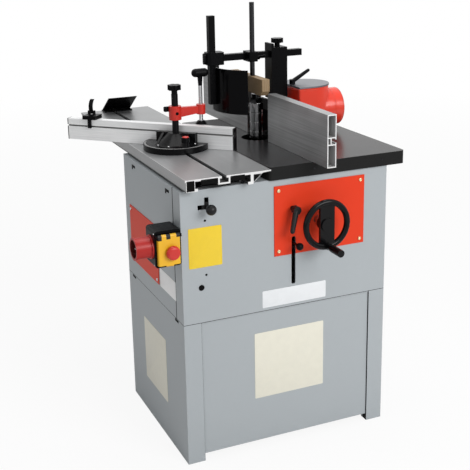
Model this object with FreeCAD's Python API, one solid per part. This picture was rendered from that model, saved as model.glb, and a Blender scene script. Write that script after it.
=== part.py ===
"""Spindle moulder: floor machine with a sliding table, split fence, hood and pressure guard.

Millimetres. X runs right along the front, Y runs back, Z is up. The origin is the middle of the
cabinet's footprint on the floor. The wood is fed along +Y.
"""
import FreeCAD, Part
import math
import os

V = FreeCAD.Vector
X_AXIS = V(1, 0, 0)
Y_AXIS = V(0, 1, 0)
Z_AXIS = V(0, 0, 1)
FULL_TURN = 360.0
QUARTER_TURN = 90.0

# Clearances
RUNNING = 0.06        # radial, shaft in its bore
SLIDING = 0.3         # per side, sliding pieces on different bodies
LOOSE = 1.0           # per side, a piece that passes through a hole without guidance

# Stand and cabinet
CABINET_WIDTH = 655.0
CABINET_DEPTH = 505.0
CABINET_HEIGHT = 391.0
TABLE_HEIGHT = 870.0
TABLE_THICKNESS = 39.0
SHEET = 2.5
POST_WIDTH = 53.0
PANEL_LIFT = 22.0
PANEL_RECESS = 4.0
FOOT_FLANGE = 45.0
ANCHOR_INSET = 26.0
ANCHOR_RADIUS = 6.0

# Control plates
CONTROL_PLATE_LEFT = 283.0
CONTROL_PLATE_WIDTH = 295.0
CONTROL_PLATE_DROP = 268.0    # from the table's top to the plate's lower edge
CONTROL_PLATE_HEIGHT = 209.0
PLATE_THICKNESS = 2.0
SIDE_PLATE_FRONT = 200.0
SIDE_PLATE_DEPTH = 259.0
SIDE_PLATE_RISE = 55.0        # over the stand
SIDE_PLATE_HEIGHT = 181.0

# Main table
MAIN_TABLE_LEFT = 264.0
MAIN_TABLE_OVERHANG = 57.0
MAIN_TABLE_FRONT = 8.0
MAIN_TABLE_DEPTH = 694.0
TABLE_SKIN = 14.0
TABLE_RIM = 16.0
TABLE_CORNER = 12.0
RIB_THICKNESS = 12.0
RIB_DEPTH = 22.0
RING_RADIUS = 86.0
RING_SEAT = 10.0
RING_HOLE_RADIUS = 49.0
TABLE_BOSS_WALL = 16.0

# Spindle line
SPINDLE_FROM_LEFT = 400.0
SPINDLE_FROM_BACK = 142.0
ARBOR_RADIUS = 15.0
ARBOR_RISE = 140.0
COLLAR_HEIGHTS = (20.0, 30.0, 30.0, 30.0)
COLLAR_RADIUS = 21.0
SPINDLE_NUT_RADIUS = 20.0
SPINDLE_NUT_HEIGHT = 17.0
NUT_SIDES = 6
JOURNAL_RADIUS = 20.0
SHOULDER_RADIUS = 24.0
SHOULDER_HEIGHT = 8.0
HOUSING_RADIUS = 46.0
HOUSING_TOP_DROP = 110.0
HOUSING_LENGTH = 190.0
BEARING_RADIUS = 36.0
BEARING_HEIGHT = 18.0
SPINDLE_PULLEY_RADIUS = 38.0
MOTOR_PULLEY_RADIUS = 70.0
PULLEY_HEIGHT = 30.0
PULLEY_DROP = 8.0
BELT_THICKNESS = 5.0
BELT_WIDTH = 22.0

# Motor and carriage
MOTOR_OFFSET = 150.0
MOTOR_RADIUS = 68.0
MOTOR_LENGTH = 210.0
MOTOR_FIN_COUNT = 18
MOTOR_FIN_HEIGHT = 6.0
MOTOR_FIN_WIDTH = 3.0
MOTOR_SHAFT_RADIUS = 12.0
SHELF_THICKNESS = 14.0
GUIDE_RADIUS = 14.0
GUIDE_SPACING = 150.0
GUIDE_BEHIND = 92.0
GUIDE_BOSS_RADIUS = 24.0
BEAM_HEIGHT = 18.0
BEAM_END = 30.0
BEAM_EDGE = 8.0

# Lifting drive
SCREW_RADIUS = 9.0
SCREW_NUT_RADIUS = 17.0
SCREW_IN_FRONT = 100.0
GEAR_TEETH = 16
GEAR_MODULE = 3.0
GEAR_FACE = 12.0
TOOTH_SHARE = 0.36
WHEEL_SHAFT_RADIUS = 10.0

# Hand controls on the front
HANDWHEEL_FROM_LEFT = 421.0
HANDWHEEL_DROP = 174.0
HANDWHEEL_RADIUS = 75.0
HANDWHEEL_RIM = 9.0
HANDWHEEL_STANDOFF = 60.0
HANDWHEEL_SPOKE = 46.0
HUB_RADIUS = 20.0
HUB_LENGTH = 34.0
GRIP_RADIUS = 11.0
GRIP_LENGTH = 72.0
GRIP_PIN_RADIUS = 4.0
GRIP_ORBIT = 62.0
LOCK_LEVER_FROM_LEFT = 341.0
LOCK_LEVER_DROP = 129.0
LOCK_LEVER_LENGTH = 62.0
LOCK_LEVER_STANDOFF = 26.0
BELT_SLOT_FROM_LEFT = 345.0
BELT_SLOT_DROP = 215.0
BELT_SLOT_LENGTH = 147.0
BELT_SLOT_WIDTH = 13.0
BELT_ROD_RADIUS = 4.0
BELT_KNOB_RADIUS = 11.0
BELT_KNOB_REACH = 38.0
SPINDLE_LOCK_FROM_LEFT = 78.0
SPINDLE_LOCK_DROP = 90.0
SPINDLE_LOCK_TRAVEL = 20.0
SPINDLE_LOCK_KNOB = 15.0
SPINDLE_LOCK_REACH = 34.0
SPINDLE_LOCK_ROD = 5.0
LOCK_SLOT_WIDTH = 13.0
LOCK_SLOT_RISE = 27.0

# Switch and power inlet on the left side
SWITCH_WIDTH = 76.0
SWITCH_DEPTH = 72.0
SWITCH_DROP = 245.0
SWITCH_HEIGHT = 105.0
COVER_WIDTH = 64.0
COVER_HEIGHT = 88.0
COVER_THICKNESS = 12.0
COVER_PIN_RADIUS = 2.5
STOP_RADIUS = 20.0
STOP_STEM_RADIUS = 9.0
STOP_TRAVEL = 4.0
INLET_RADIUS = 30.0
INLET_WALL = 4.0
INLET_REACH = 50.0
INLET_PIN_COUNT = 5
INLET_PIN_RADIUS = 2.5
INLET_PIN_LENGTH = 22.0
INLET_PIN_ORBIT = 16.0

# Sliding table and its rail
SLIDER_LEFT = 6.0
SLIDER_WIDTH = 255.0
SLIDER_FRONT = 30.0
SLIDER_LENGTH = 1065.0
SLIDER_SKIN = 6.0
SLOT_FROM_LEFT = 120.0
SLOT_MOUTH = 14.0
SLOT_WIDTH = 26.0
SLOT_HEAD = 12.0
SLOT_WALL = 5.0
LEG_WIDTH = 26.0
LEG_WALL = 4.0
LEG_DEPTH = 34.0
LEG_FOOT = 8.0
FOOT_THICKNESS = 8.0
RIGHT_LEG_INSET = 62.0
LIP_WIDTH = 34.0
LIP_EDGE = 3.0
RAIL_WEB = 8.0

# Mitre fence, its head and the hold-down clamp
MITRE_ANGLE = -45.0
MITRE_PIVOT_IN_FRONT = 20.0   # of the spindle
MITRE_FENCE_LEFT = 387.0
MITRE_FENCE_RIGHT = 183.0
MITRE_FENCE_OFFSET = 15.0
MITRE_FENCE_THICKNESS = 25.0
MITRE_FENCE_HEIGHT = 67.0
MITRE_FENCE_WALL = 3.0
MITRE_SLOT_DROP = 22.0
MITRE_SLOT_MOUTH = 5.0
HEAD_RADIUS = 100.0
HEAD_THICKNESS = 18.0
HEAD_HUB_RADIUS = 22.0
HEAD_HUB_RISE = 48.0
HEAD_CONE_RADIUS = 62.0
LOCK_ORBIT = 82.0
LOCK_STUD_RADIUS = 5.0
LOCK_KNOB_RADIUS = 12.0
LOCK_KNOB_HEIGHT = 30.0
MITRE_SWING_BACK = 15.0
MITRE_SWING_ON = 60.0
COLUMN_RADIUS = 10.0
COLUMN_RISE = 166.0
COLUMN_KNOB_RADIUS = 20.0
COLUMN_KNOB_HEIGHT = 28.0
ARM_LENGTH = 86.0
ARM_ANGLE = 3.3
ARM_RISE = 88.0
ARM_HEIGHT = 42.0
ARM_BOSS_RADIUS = 19.0
ARM_END_RADIUS = 14.0
ARM_WEB = 14.0
CLAMP_SCREW_RADIUS = 6.0
CLAMP_PAD_RADIUS = 18.5
CLAMP_PAD_RISE = 66.0
CLAMP_PAD_HEIGHT = 10.0
CLAMP_HANDLE_TOP = 236.0
CLAMP_HANDLE_RADIUS = 13.0
CLAMP_HANDLE_LENGTH = 54.0
STOP_FROM_LEFT = 59.0
STOP_LENGTH = 46.0
STOP_BASE_HEIGHT = 12.0
STOP_PIVOT_RISE = 18.0
STOP_PIN_RADIUS = 3.0
FINGER_LENGTH = 40.0
SHOE_WIDTH = 105.0
SHOE_SHIFT = 14.0
SHOE_FLAP_RISE = 62.0
SHOE_FLAP_LEAN = 100.0
SHOE_SHEET = 4.0

# Fences and hood
FENCE_OFFSET = 3.0
FENCE_THICKNESS = 28.0
FENCE_HEIGHT = 150.0
FENCE_WALL = 3.0
FENCE_LENGTH = 378.0
FENCE_GAP = 155.0
FENCE_SLOT_MOUTH = 9.0
FENCE_SLOT_ROOM = 17.0
FENCE_SLOT_DEPTH = 12.0
CARRIER_THICKNESS = 8.0
CARRIER_REACH = 120.0
CARRIER_HEIGHT = 120.0
HOOD_LENGTH = 208.0
HOOD_TOP = 155.0
HOOD_LOW_ROOF = 90.0
HOOD_LOW_LENGTH = 74.0
HOOD_WALL = 4.0
HOOD_PLATE = 5.0
SPIGOT_RADIUS = 60.0
SPIGOT_RISE = 76.0
SPIGOT_REACH = 38.0
SPIGOT_FLANGE = 5.0
SPIGOT_FLANGE_RADIUS = 64.0
HOOD_LEVER_LENGTH = 72.0

# Pressure guard
BAR_SIZE = 20.0
BAR_RISE = 261.0
BAR_LEFT_OF_SPINDLE = 137.0
BAR_RIGHT_OF_SPINDLE = 156.0
POST_DEPTH = 50.0
POST_THICKNESS = 46.0
POST_WALL = 4.0
POST_BLOCK = 44.0
POST_PLATE = 8.0
POST_PLATE_TOP = 295.0
GUARD_BAR_FROM_SPINDLE = 149.0
GUARD_BAR_BOTTOM = 120.0
GUARD_BAR_TOP = 390.0
GUARD_BOTTOM = 98.0
GUARD_HEIGHT = 135.0
GUARD_SHEET = 3.0
GUARD_HALF_ANGLE = 55.0
GUARD_CORNER = 40.0
CLAMP_BODY_DEPTH = 44.0
CLAMP_BODY_HEIGHT = 38.0
CLAMP_BODY_LEFT = 18.0
CLAMP_BODY_RIGHT = 36.0
SHOE_ROD_RADIUS = 7.5
SHOE_ROD_FROM_SPINDLE = 23.0
SHOE_ROD_IN_FRONT = 24.0
SHOE_ROD_TOP = 426.0
WOOD_THICKNESS = 25.0
WOOD_LENGTH = 240.0
WOOD_HEIGHT = 50.0
WOOD_RISE = 152.0
KNOB_RADIUS = 19.0
KNOB_HEIGHT = 26.0

# Smaller sizes of the stand and cabinet
FLANGE_WIDTH = 30.0
FOOT_THICK = 5.0
PANEL_SET = 12.0
WELL_HALF_WIDTH = 150.0
WELL_FRONT = 150.0
WELL_BACK = 55.0
SMALL_HOLE_X = 72.0
SMALL_HOLE_DROP = 129.0
SMALL_HOLE_SPACING = 159.0
SMALL_HOLE_RADIUS = 3.5
HOOK_SLOT_FRONT = 90.0
HOOK_SLOT_BACK = 395.0
HOOK_SLOT_DROP = 22.0
HOOK_SLOT_LENGTH = 20.0
HOOK_SLOT_HEIGHT = 5.0
SIDE_SEAM = 57.0
SEAM_WIDTH = 2.0
RIB_SPREAD = 120.0
RIB_REACH = 150.0
RING_LEDGE = 6.0
LEG_EDGE = 3.0
GUSSET_REACH = 28.0
RAIL_SETBACK = 12.0
RAIL_BASE = 4.0
NEARLY_FULL = 0.98

# Smaller sizes of the spindle and lifting drive
COLLAR_JOINT = 0.2
COLLAR_CHAMFER = 1.0
COLLAR_ABOVE_TABLE = 2.0
PULLEY_RIM = 3.0
PULLEY_RIM_RISE = 7.0
SHAFT_TAIL = 5.0
SHELF_ABOVE_HOUSING = 20.0
GUIDE_BOSS_LENGTH = 140.0
WEB_THICKNESS = 12.0
NUT_LUG_RADIUS = 26.0
MOTOR_CAP = 20.0
BEAM_ABOVE_STAND = 10.0
ADDENDUM_SHARE = 0.8
DEDENDUM_SHARE = 1.15
FLANK_ANGLE = 20.0
GEAR_HUB_SHARE = 0.65
SCREW_BELOW_NUT = 120.0
SCREW_COLLAR_RADIUS = 15.0
SCREW_COLLAR = 8.0
BRACKET_DROP = 56.0
BRACKET_WIDTH = 60.0
BRACKET_PLATE = 12.0
SHAFT_BEARING_BEFORE = 72.0
SPOKE_THICKNESS = 10.0
GRIP_WAIST = 0.7
GRIP_NECK = 24.0
GRIP_CAP = 6.0
GRIP_BOSS = 11.0          # from the middle of the rim to the face the grip turns on
LEVER_HUB_SHARE = 1.35
LEVER_TIP_SHARE = 0.75
LOCK_STEM_RADIUS = 6.0
LOCK_STEM_INSIDE = 30.0
LOCK_WASHER = 4.0
LOCK_LEVER_LEAN = 19.0
LOCK_LEVER_OUT = 0.25
LOCK_LEVER_RADIUS = 9.0
BELT_LEVER_DROP = 235.0
BELT_EYE_RADIUS = 10.0
BELT_EYE_WIDTH = 10.0
BELT_PIN_RADIUS = 4.0
BELT_EAR = 6.0
BELT_PIVOT_BEFORE_SHELF = 16.0
LOCK_ROD_INSIDE = 26.0

# Smaller sizes of the switch and inlet
SWITCH_CORNER = 8.0
EAR_WIDTH = 4.0
COVER_MARGIN = 8.0
COVER_EDGE = 4.0
STOP_SIDE = 8.0
STOP_RISE = 36.0
STOP_HEAD = 12.0
DOME_SHARE = 0.7
INLET_FLANGE = 5.0
INLET_LIP = 2.0
INLET_BLOCK = 18.0

# Smaller sizes of the knobs, mitre fence and clamp
NECK_SHARE = 0.45
KNOB_LOBES = 6
SCOOP_SHARE = 0.34
SCOOP_OUT = 1.16
BOLT_HEAD = 8.0
SHOE_INSET = 6.0
SHOE_BASE = 40.0
HEAD_PLATE = 130.0
HEAD_RIB = 8.0
HEAD_RIB_SPREAD = 45.0
SLOT_SPARE = 6.0
ARM_END_HEIGHT = 30.0
ARM_END_SHIFT = 3.0
ARM_EDGE = 5.0
CLAMP_NECK_RADIUS = 9.0
CLAMP_NECK_LENGTH = 39.0
PAD_TOP_SHARE = 0.6
LOCK_KNOB_WAIST = 0.75
STOP_LIP = 6.0
STOP_TAB = 10.0
STOP_EAR = 5.0
FINGER_FROM_LEFT = 12.5
STOP_PIN_OUT = 7.0
FINGER_WIDTH = 12.0
FINGER_NOTCH = 8.0
FINGER_EYE = 5.5
FINGER_THICKNESS = 6.0
FINGER_HOOK = 6.0
FINGER_BEND = 0.6          # share of the length where the finger kinks

# Smaller sizes of the hood and guard
CARRIER_CORNER = 12.0
BOLT_NEAR = 35.0
BOLT_FAR = 95.0
BOLT_NUT_RADIUS = 9.0
LID_OVERHANG = 2.0
LEVER_STUD_RADIUS = 4.0
HOOD_LEVER_FROM_STEP = 14.0
HOOD_LEVER_TURN = 12.0
HOOD_LEVER_LIFT = 0.45
HOOD_LEVER_RADIUS = 7.0
POST_SETBACK = 12.0
CLAMP_BODY_CORNER = 10.0
THUMB_THICKNESS = 8.0
THUMB_WIDTH = 14.0
THUMB_HEIGHT = 34.0
GUARD_BOLT_RISES = (40.0, 110.0)
GUARD_BOLT_RADIUS = 6.0
GUARD_SEAT = 0.3
SHOE_CLAMP_WIDTH = 30.0
SHOE_CLAMP_WALL = 5.0
SHOE_LEVER_DROP = 5.0
SHOE_LEVER_OUT = 0.35
SHOE_LEVER_LIFT = 0.3
SHOE_LEVER_LENGTH = 30.0
SHOE_LEVER_RADIUS = 4.5
WOOD_BEVEL = 14.0

# Places that follow from the sizes above
left = -CABINET_WIDTH / 2
right = CABINET_WIDTH / 2
front = -CABINET_DEPTH / 2
back = CABINET_DEPTH / 2
cabinet_top = TABLE_HEIGHT - TABLE_THICKNESS
stand_height = cabinet_top - CABINET_HEIGHT
control_plate_z = TABLE_HEIGHT - CONTROL_PLATE_DROP
side_plate_z = stand_height + SIDE_PLATE_RISE
handwheel_z = TABLE_HEIGHT - HANDWHEEL_DROP
lock_lever_z = TABLE_HEIGHT - LOCK_LEVER_DROP
spindle_lock_z = TABLE_HEIGHT - SPINDLE_LOCK_DROP
belt_lever_z = TABLE_HEIGHT - BELT_LEVER_DROP
belt_slot_top = TABLE_HEIGHT - BELT_SLOT_DROP
belt_slot_bottom = belt_slot_top - BELT_SLOT_LENGTH
switch_z = TABLE_HEIGHT - SWITCH_DROP
small_hole_high = TABLE_HEIGHT - SMALL_HOLE_DROP
small_hole_low = small_hole_high - SMALL_HOLE_SPACING
spindle_x = left + SPINDLE_FROM_LEFT
spindle_y = back - SPINDLE_FROM_BACK
slider_x0 = left + SLIDER_LEFT
slider_x1 = slider_x0 + SLIDER_WIDTH
slot_x = left + SLOT_FROM_LEFT
pivot_y = spindle_y - MITRE_PIVOT_IN_FRONT
bar_z = TABLE_HEIGHT + BAR_RISE

# Sliding table legs and far end
left_leg_inner = slider_x0 + LEG_EDGE + LEG_WIDTH
right_leg_inner = slider_x1 - RIGHT_LEG_INSET
slider_y1 = front - SLIDER_FRONT + SLIDER_LENGTH

# Heights down the spindle
collar_z = TABLE_HEIGHT + COLLAR_ABOVE_TABLE
shoulder_z = collar_z - SHOULDER_HEIGHT
housing_top = TABLE_HEIGHT - HOUSING_TOP_DROP
housing_bottom = housing_top - HOUSING_LENGTH
pulley_z = housing_bottom - PULLEY_DROP - PULLEY_HEIGHT
shaft_bottom = pulley_z - SHAFT_TAIL
shelf_z = housing_bottom + SHELF_ABOVE_HOUSING
motor_x = spindle_x - MOTOR_OFFSET
guide_xs = (spindle_x - GUIDE_SPACING / 2, spindle_x + GUIDE_SPACING / 2)
beam_low_z = stand_height + BEAM_ABOVE_STAND
beam_top_z = cabinet_top - SHEET - BEAM_HEIGHT

# Handwheel line and lifting screw
wheel_x = left + HANDWHEEL_FROM_LEFT
wheel_y = front - HANDWHEEL_STANDOFF
grip_z = handwheel_z - GRIP_ORBIT
grip_y = wheel_y - GRIP_BOSS - SLIDING
rim_orbit = HANDWHEEL_RADIUS - HANDWHEEL_RIM
screw_y = spindle_y - SCREW_IN_FRONT
screw_low_z = shelf_z - SCREW_BELOW_NUT
bracket_z = handwheel_z - BRACKET_DROP
gear_radius = GEAR_MODULE * GEAR_TEETH / 2
belt_pivot_y = spindle_y - MOTOR_RADIUS - BELT_PIVOT_BEFORE_SHELF

# Switch cover, button and inlet
cover_x0 = left - (SWITCH_WIDTH + COVER_WIDTH) / 2
cover_hinge_y = front - COVER_THICKNESS / 2
cover_hinge_z = switch_z + COVER_MARGIN + COVER_HEIGHT - COVER_THICKNESS / 2
stop_x = cover_x0 + COVER_WIDTH / 2 + STOP_SIDE
stop_z = switch_z + COVER_MARGIN + STOP_RISE
inlet_y = front + SWITCH_DEPTH / 2
inlet_z = switch_z + SWITCH_HEIGHT / 2

# Mitre head ribs, clamp screw and flip stop
knob_sweep = LOCK_ORBIT - LOCK_KNOB_RADIUS - LOOSE
rib_reach = math.sqrt(knob_sweep ** 2 - HEAD_RIB_SPREAD ** 2)
clamp_x = slot_x + ARM_LENGTH * math.cos(math.radians(ARM_ANGLE))
clamp_y = pivot_y + ARM_LENGTH * math.sin(math.radians(ARM_ANGLE))
stop_pin_y = MITRE_FENCE_OFFSET + MITRE_FENCE_THICKNESS + STOP_PIN_OUT
stop_pin_z = TABLE_HEIGHT + MITRE_FENCE_HEIGHT + STOP_PIVOT_RISE

# Fence, hood and guard lines
fence_x = spindle_x + FENCE_OFFSET
carrier_x = fence_x + FENCE_THICKNESS + SLIDING
hood_x0 = carrier_x + CARRIER_THICKNESS
hood_x1 = hood_x0 + HOOD_LENGTH
spigot_z = TABLE_HEIGHT + SPIGOT_RISE
hood_lever_x = hood_x0 + HOOD_LOW_LENGTH + HOOD_LEVER_FROM_STEP
post_x = hood_x0 + POST_SETBACK
guard_x = spindle_x - GUARD_BAR_FROM_SPINDLE
guard_radius = GUARD_BAR_FROM_SPINDLE - BAR_SIZE / 2 - GUARD_SEAT
rod_x = spindle_x - SHOE_ROD_FROM_SPINDLE
rod_y = spindle_y - SHOE_ROD_IN_FRONT
shoe_lever_z = bar_z - SHOE_LEVER_DROP


def box(low, high):
    """A block between two corners."""
    size = [b - a for a, b in zip(low, high)]
    return Part.makeBox(*size, V(*low))


def rod(radius, length, base, axis=Z_AXIS):
    """A round bar from its base point along an axis."""
    return Part.makeCylinder(radius, length, V(*base), axis)


def cone(radius_low, radius_high, length, base, axis=Z_AXIS):
    """A tapered round bar."""
    return Part.makeCone(radius_low, radius_high, length, V(*base), axis)


def ball(radius, centre):
    """A round knob."""
    return Part.makeSphere(radius, V(*centre))


def prism(points, sweep):
    """A polygon swept along a vector."""
    corners = [V(*point) for point in points]
    return Part.Face(Part.makePolygon(corners + corners[:1])).extrude(V(*sweep))


def joined(*shapes):
    """One solid from touching or overlapping shapes."""
    return shapes[0].multiFuse(list(shapes[1:])).removeSplitter()


def along(shape, axis):
    """Straight edges of a shape that run along an axis."""
    return [edge for edge in shape.Edges
            if isinstance(edge.Curve, Part.Line) and edge.Curve.Direction.cross(axis).Length < 1e-6]


def rounded(shape, radius, axis):
    """Round the edges that run along an axis."""
    return shape.makeFillet(radius, along(shape, axis))


def turned(shape, angle, centre, axis=Z_AXIS):
    """A copy turned about a point."""
    copy = shape.copy()
    copy.rotate(V(*centre), axis, angle)
    return copy


def moved(shape, x=0.0, y=0.0, z=0.0):
    """A shifted copy."""
    copy = shape.copy()
    copy.translate(V(x, y, z))
    return copy


def save(name, *solids):
    """Write one node: one solid, or a group of separate ones."""
    shape = solids[0] if len(solids) == 1 else Part.makeCompound(list(solids))
    shape.exportStep(f"parts/{name}.step")


os.makedirs("parts", exist_ok=True)


# Stand and cabinet
def ring_wall(z_low, z_high):
    """Four sheet walls round the footprint."""
    outer = box((left, front, z_low), (right, back, z_high))
    inner = box((left + SHEET, front + SHEET, z_low), (right - SHEET, back - SHEET, z_high))
    return outer.cut(inner)


def inner_flange(z_low):
    """A folded flange that runs round the inside."""
    width = FLANGE_WIDTH
    plate = box((left, front, z_low), (right, back, z_low + SHEET))
    middle = box((left + width, front + width, z_low), (right - width, back - width, z_low + SHEET))
    return plate.cut(middle)


def stand_shell():
    """Lower stand: side and back walls, two front posts with returns, feet with anchor holes."""
    shell = joined(ring_wall(0, stand_height), inner_flange(stand_height - SHEET))
    doorway = box((left + POST_WIDTH, front, 0),
                  (right - POST_WIDTH, front + PANEL_SET, stand_height - SHEET))
    shell = shell.cut(doorway)
    for x in (left + POST_WIDTH - SHEET, right - POST_WIDTH):
        post_return = box((x, front, 0), (x + SHEET, front + FLANGE_WIDTH, stand_height - SHEET))
        shell = shell.fuse(post_return)
    for x in (left, right - FOOT_FLANGE):
        for y in (front, back - FOOT_FLANGE):
            shell = shell.fuse(box((x, y, 0), (x + FOOT_FLANGE, y + FOOT_FLANGE, FOOT_THICK)))
    for x in (left + ANCHOR_INSET, right - ANCHOR_INSET):
        for y in (front + ANCHOR_INSET, back - ANCHOR_INSET):
            shell = shell.cut(rod(ANCHOR_RADIUS, FOOT_THICK, (x, y, 0)))
    return shell.removeSplitter()


def stand_front_panel():
    """Inset lower front panel with folded side edges."""
    x0 = left + POST_WIDTH + SLIDING
    x1 = right - POST_WIDTH - SLIDING
    y0 = front + PANEL_RECESS
    z1 = stand_height - SHEET - SLIDING
    sheet = box((x0, y0, PANEL_LIFT), (x1, y0 + SHEET, z1))
    for x in (x0, x1 - SHEET):
        sheet = sheet.fuse(box((x, y0, PANEL_LIFT), (x + SHEET, front + FLANGE_WIDTH, z1)))
    return sheet.removeSplitter()


def front_slots(y_low, y_high):
    """Cutters for every opening in the front wall."""
    depth = y_high - y_low
    half = BELT_SLOT_WIDTH / 2
    x = left + BELT_SLOT_FROM_LEFT
    belt = box((x - half, y_low, belt_slot_bottom), (x + half, y_high, belt_slot_top))
    wheel = rod(WHEEL_SHAFT_RADIUS + LOOSE, depth, (wheel_x, y_low, handwheel_z), Y_AXIS)
    lever = rod(LOCK_STEM_RADIUS + LOOSE, depth, (left + LOCK_LEVER_FROM_LEFT, y_low, lock_lever_z), Y_AXIS)
    return [rounded(belt, half * NEARLY_FULL, Y_AXIS), wheel, lever]


def upper_cabinet():
    """Upper cabinet: four walls, top plate with the spindle opening, bottom flange and front slots."""
    shell = joined(ring_wall(stand_height, cabinet_top), inner_flange(stand_height))
    top = box((left, front, cabinet_top - SHEET), (right, back, cabinet_top))
    well = box((spindle_x - WELL_HALF_WIDTH, spindle_y - WELL_FRONT, cabinet_top - SHEET),
               (spindle_x + WELL_HALF_WIDTH, spindle_y + WELL_BACK, cabinet_top))
    shell = shell.fuse(top.cut(well))
    cutters = front_slots(front, front + SHEET)
    half = LOCK_SLOT_WIDTH / 2
    lock_x = left + SPINDLE_LOCK_FROM_LEFT
    across = box((lock_x - SPINDLE_LOCK_TRAVEL - half, front, spindle_lock_z - half),
                 (lock_x + half, front + SHEET, spindle_lock_z + half))
    upright = box((lock_x - half, front, spindle_lock_z - half),
                  (lock_x + half, front + SHEET, spindle_lock_z + LOCK_SLOT_RISE))
    cutters += [across, upright]
    for x, z, radius in ((SMALL_HOLE_X, small_hole_high, SMALL_HOLE_RADIUS),
                         (SMALL_HOLE_X, small_hole_low, SMALL_HOLE_RADIUS)):
        cutters.append(rod(radius, SHEET, (left + x, front, z), Y_AXIS))
    for y in (HOOK_SLOT_FRONT, HOOK_SLOT_BACK):
        cutters.append(box((left, front + y, cabinet_top - HOOK_SLOT_DROP),
                           (left + SHEET, front + y + HOOK_SLOT_LENGTH,
                            cabinet_top - HOOK_SLOT_DROP + HOOK_SLOT_HEIGHT)))
    groove = box((left, front + SIDE_SEAM, stand_height),
                 (left + SHEET / 2, front + SIDE_SEAM + SEAM_WIDTH, cabinet_top))
    return shell.cut(cutters + [groove]).removeSplitter()


def control_plate():
    """Red plate behind the handwheel."""
    x0 = left + CONTROL_PLATE_LEFT
    plate = box((x0, front - PLATE_THICKNESS, control_plate_z),
                (x0 + CONTROL_PLATE_WIDTH, front, control_plate_z + CONTROL_PLATE_HEIGHT))
    return plate.cut(front_slots(front - PLATE_THICKNESS, front))


def side_plate():
    """Red plate on the left side behind the switch."""
    y0 = front + SIDE_PLATE_FRONT
    return box((left - PLATE_THICKNESS, y0, side_plate_z),
               (left, y0 + SIDE_PLATE_DEPTH, side_plate_z + SIDE_PLATE_HEIGHT))


# Main table
def main_table():
    """Cast table: skin, rim, ribs and a stepped boss round the spindle opening."""
    x0 = left + MAIN_TABLE_LEFT
    x1 = right + MAIN_TABLE_OVERHANG
    y0 = front - MAIN_TABLE_FRONT
    y1 = y0 + MAIN_TABLE_DEPTH
    skin_z = TABLE_HEIGHT - TABLE_SKIN
    block = rounded(box((x0, y0, cabinet_top), (x1, y1, TABLE_HEIGHT)), TABLE_CORNER, Z_AXIS)
    pocket = box((x0 + TABLE_RIM, y0 + TABLE_RIM, cabinet_top), (x1 - TABLE_RIM, y1 - TABLE_RIM, skin_z))
    ribs = [rod(RING_RADIUS + TABLE_BOSS_WALL, TABLE_THICKNESS, (spindle_x, spindle_y, cabinet_top))]
    for rib_x in (spindle_x - RIB_SPREAD, spindle_x + RIB_SPREAD):
        ribs.append(box((rib_x, y0 + TABLE_RIM, skin_z - RIB_DEPTH),
                        (rib_x + RIB_THICKNESS, y1 - TABLE_RIM, skin_z)))
    for rib_y in (spindle_y - RIB_REACH, spindle_y + RIB_REACH):
        ribs.append(box((x0 + TABLE_RIM, rib_y, skin_z - RIB_DEPTH),
                        (x1 - TABLE_RIM, rib_y + RIB_THICKNESS, skin_z)))
    table = block.cut(pocket).multiFuse(ribs)
    seat = rod(RING_RADIUS + SLIDING, RING_SEAT, (spindle_x, spindle_y, TABLE_HEIGHT - RING_SEAT))
    through = rod(RING_RADIUS - RING_LEDGE, TABLE_THICKNESS, (spindle_x, spindle_y, cabinet_top))
    return table.cut([seat, through]).removeSplitter()


def table_ring():
    """Loose ring that closes the opening round the spindle."""
    z = TABLE_HEIGHT - RING_SEAT
    ring = rod(RING_RADIUS, RING_SEAT, (spindle_x, spindle_y, z))
    return ring.cut(rod(RING_HOLE_RADIUS, RING_SEAT, (spindle_x, spindle_y, z)))


# Sliding table and its rail
def sliding_table():
    """Extrusion: thin plate, clamp slot, hooked legs, gusset and a thin lip beside the main table."""
    z1 = TABLE_HEIGHT
    z0 = z1 - SLIDER_SKIN
    foot_z = z1 - LEG_DEPTH
    y0 = front - SLIDER_FRONT
    length = (0, SLIDER_LENGTH, 0)

    def strip(xa, za, xb, zb):
        return box((xa, y0, za), (xb, y0 + SLIDER_LENGTH, zb))

    outer = SLOT_WIDTH / 2 + SLOT_WALL
    slot_z = z0 - SLOT_HEAD
    pieces = [strip(slider_x0, z0, slider_x1 - LIP_WIDTH, z1),
              strip(slot_x - outer, slot_z - SLOT_WALL, slot_x + outer, z0),
              strip(slider_x0 + LEG_EDGE, foot_z, slider_x0 + LEG_EDGE + LEG_WIDTH, z0),
              strip(left_leg_inner, foot_z, left_leg_inner + LEG_FOOT, foot_z + FOOT_THICKNESS),
              strip(right_leg_inner, foot_z, right_leg_inner + LEG_WALL * 2, z0),
              strip(right_leg_inner - LEG_FOOT, foot_z, right_leg_inner, foot_z + FOOT_THICKNESS)]
    lip = [(slider_x1 - LIP_WIDTH, y0, z0), (slider_x1, y0, z1 - LIP_EDGE), (slider_x1, y0, z1),
           (slider_x1 - LIP_WIDTH, y0, z1)]
    gusset_x = right_leg_inner + LEG_WALL * 2
    gusset = [(gusset_x, y0, foot_z + LEG_WALL), (gusset_x + GUSSET_REACH, y0, z0), (gusset_x, y0, z0)]
    table = joined(*pieces, prism(lip, length), prism(gusset, length))
    leg_void = strip(slider_x0 + LEG_EDGE + LEG_WALL, foot_z + LEG_WALL,
                     slider_x0 + LEG_EDGE + LEG_WIDTH - LEG_WALL, z0)
    head = strip(slot_x - SLOT_WIDTH / 2, slot_z, slot_x + SLOT_WIDTH / 2, z0)
    mouth = strip(slot_x - SLOT_MOUTH / 2, z0, slot_x + SLOT_MOUTH / 2, z1)
    return table.cut([leg_void, head, mouth]).removeSplitter()


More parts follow.
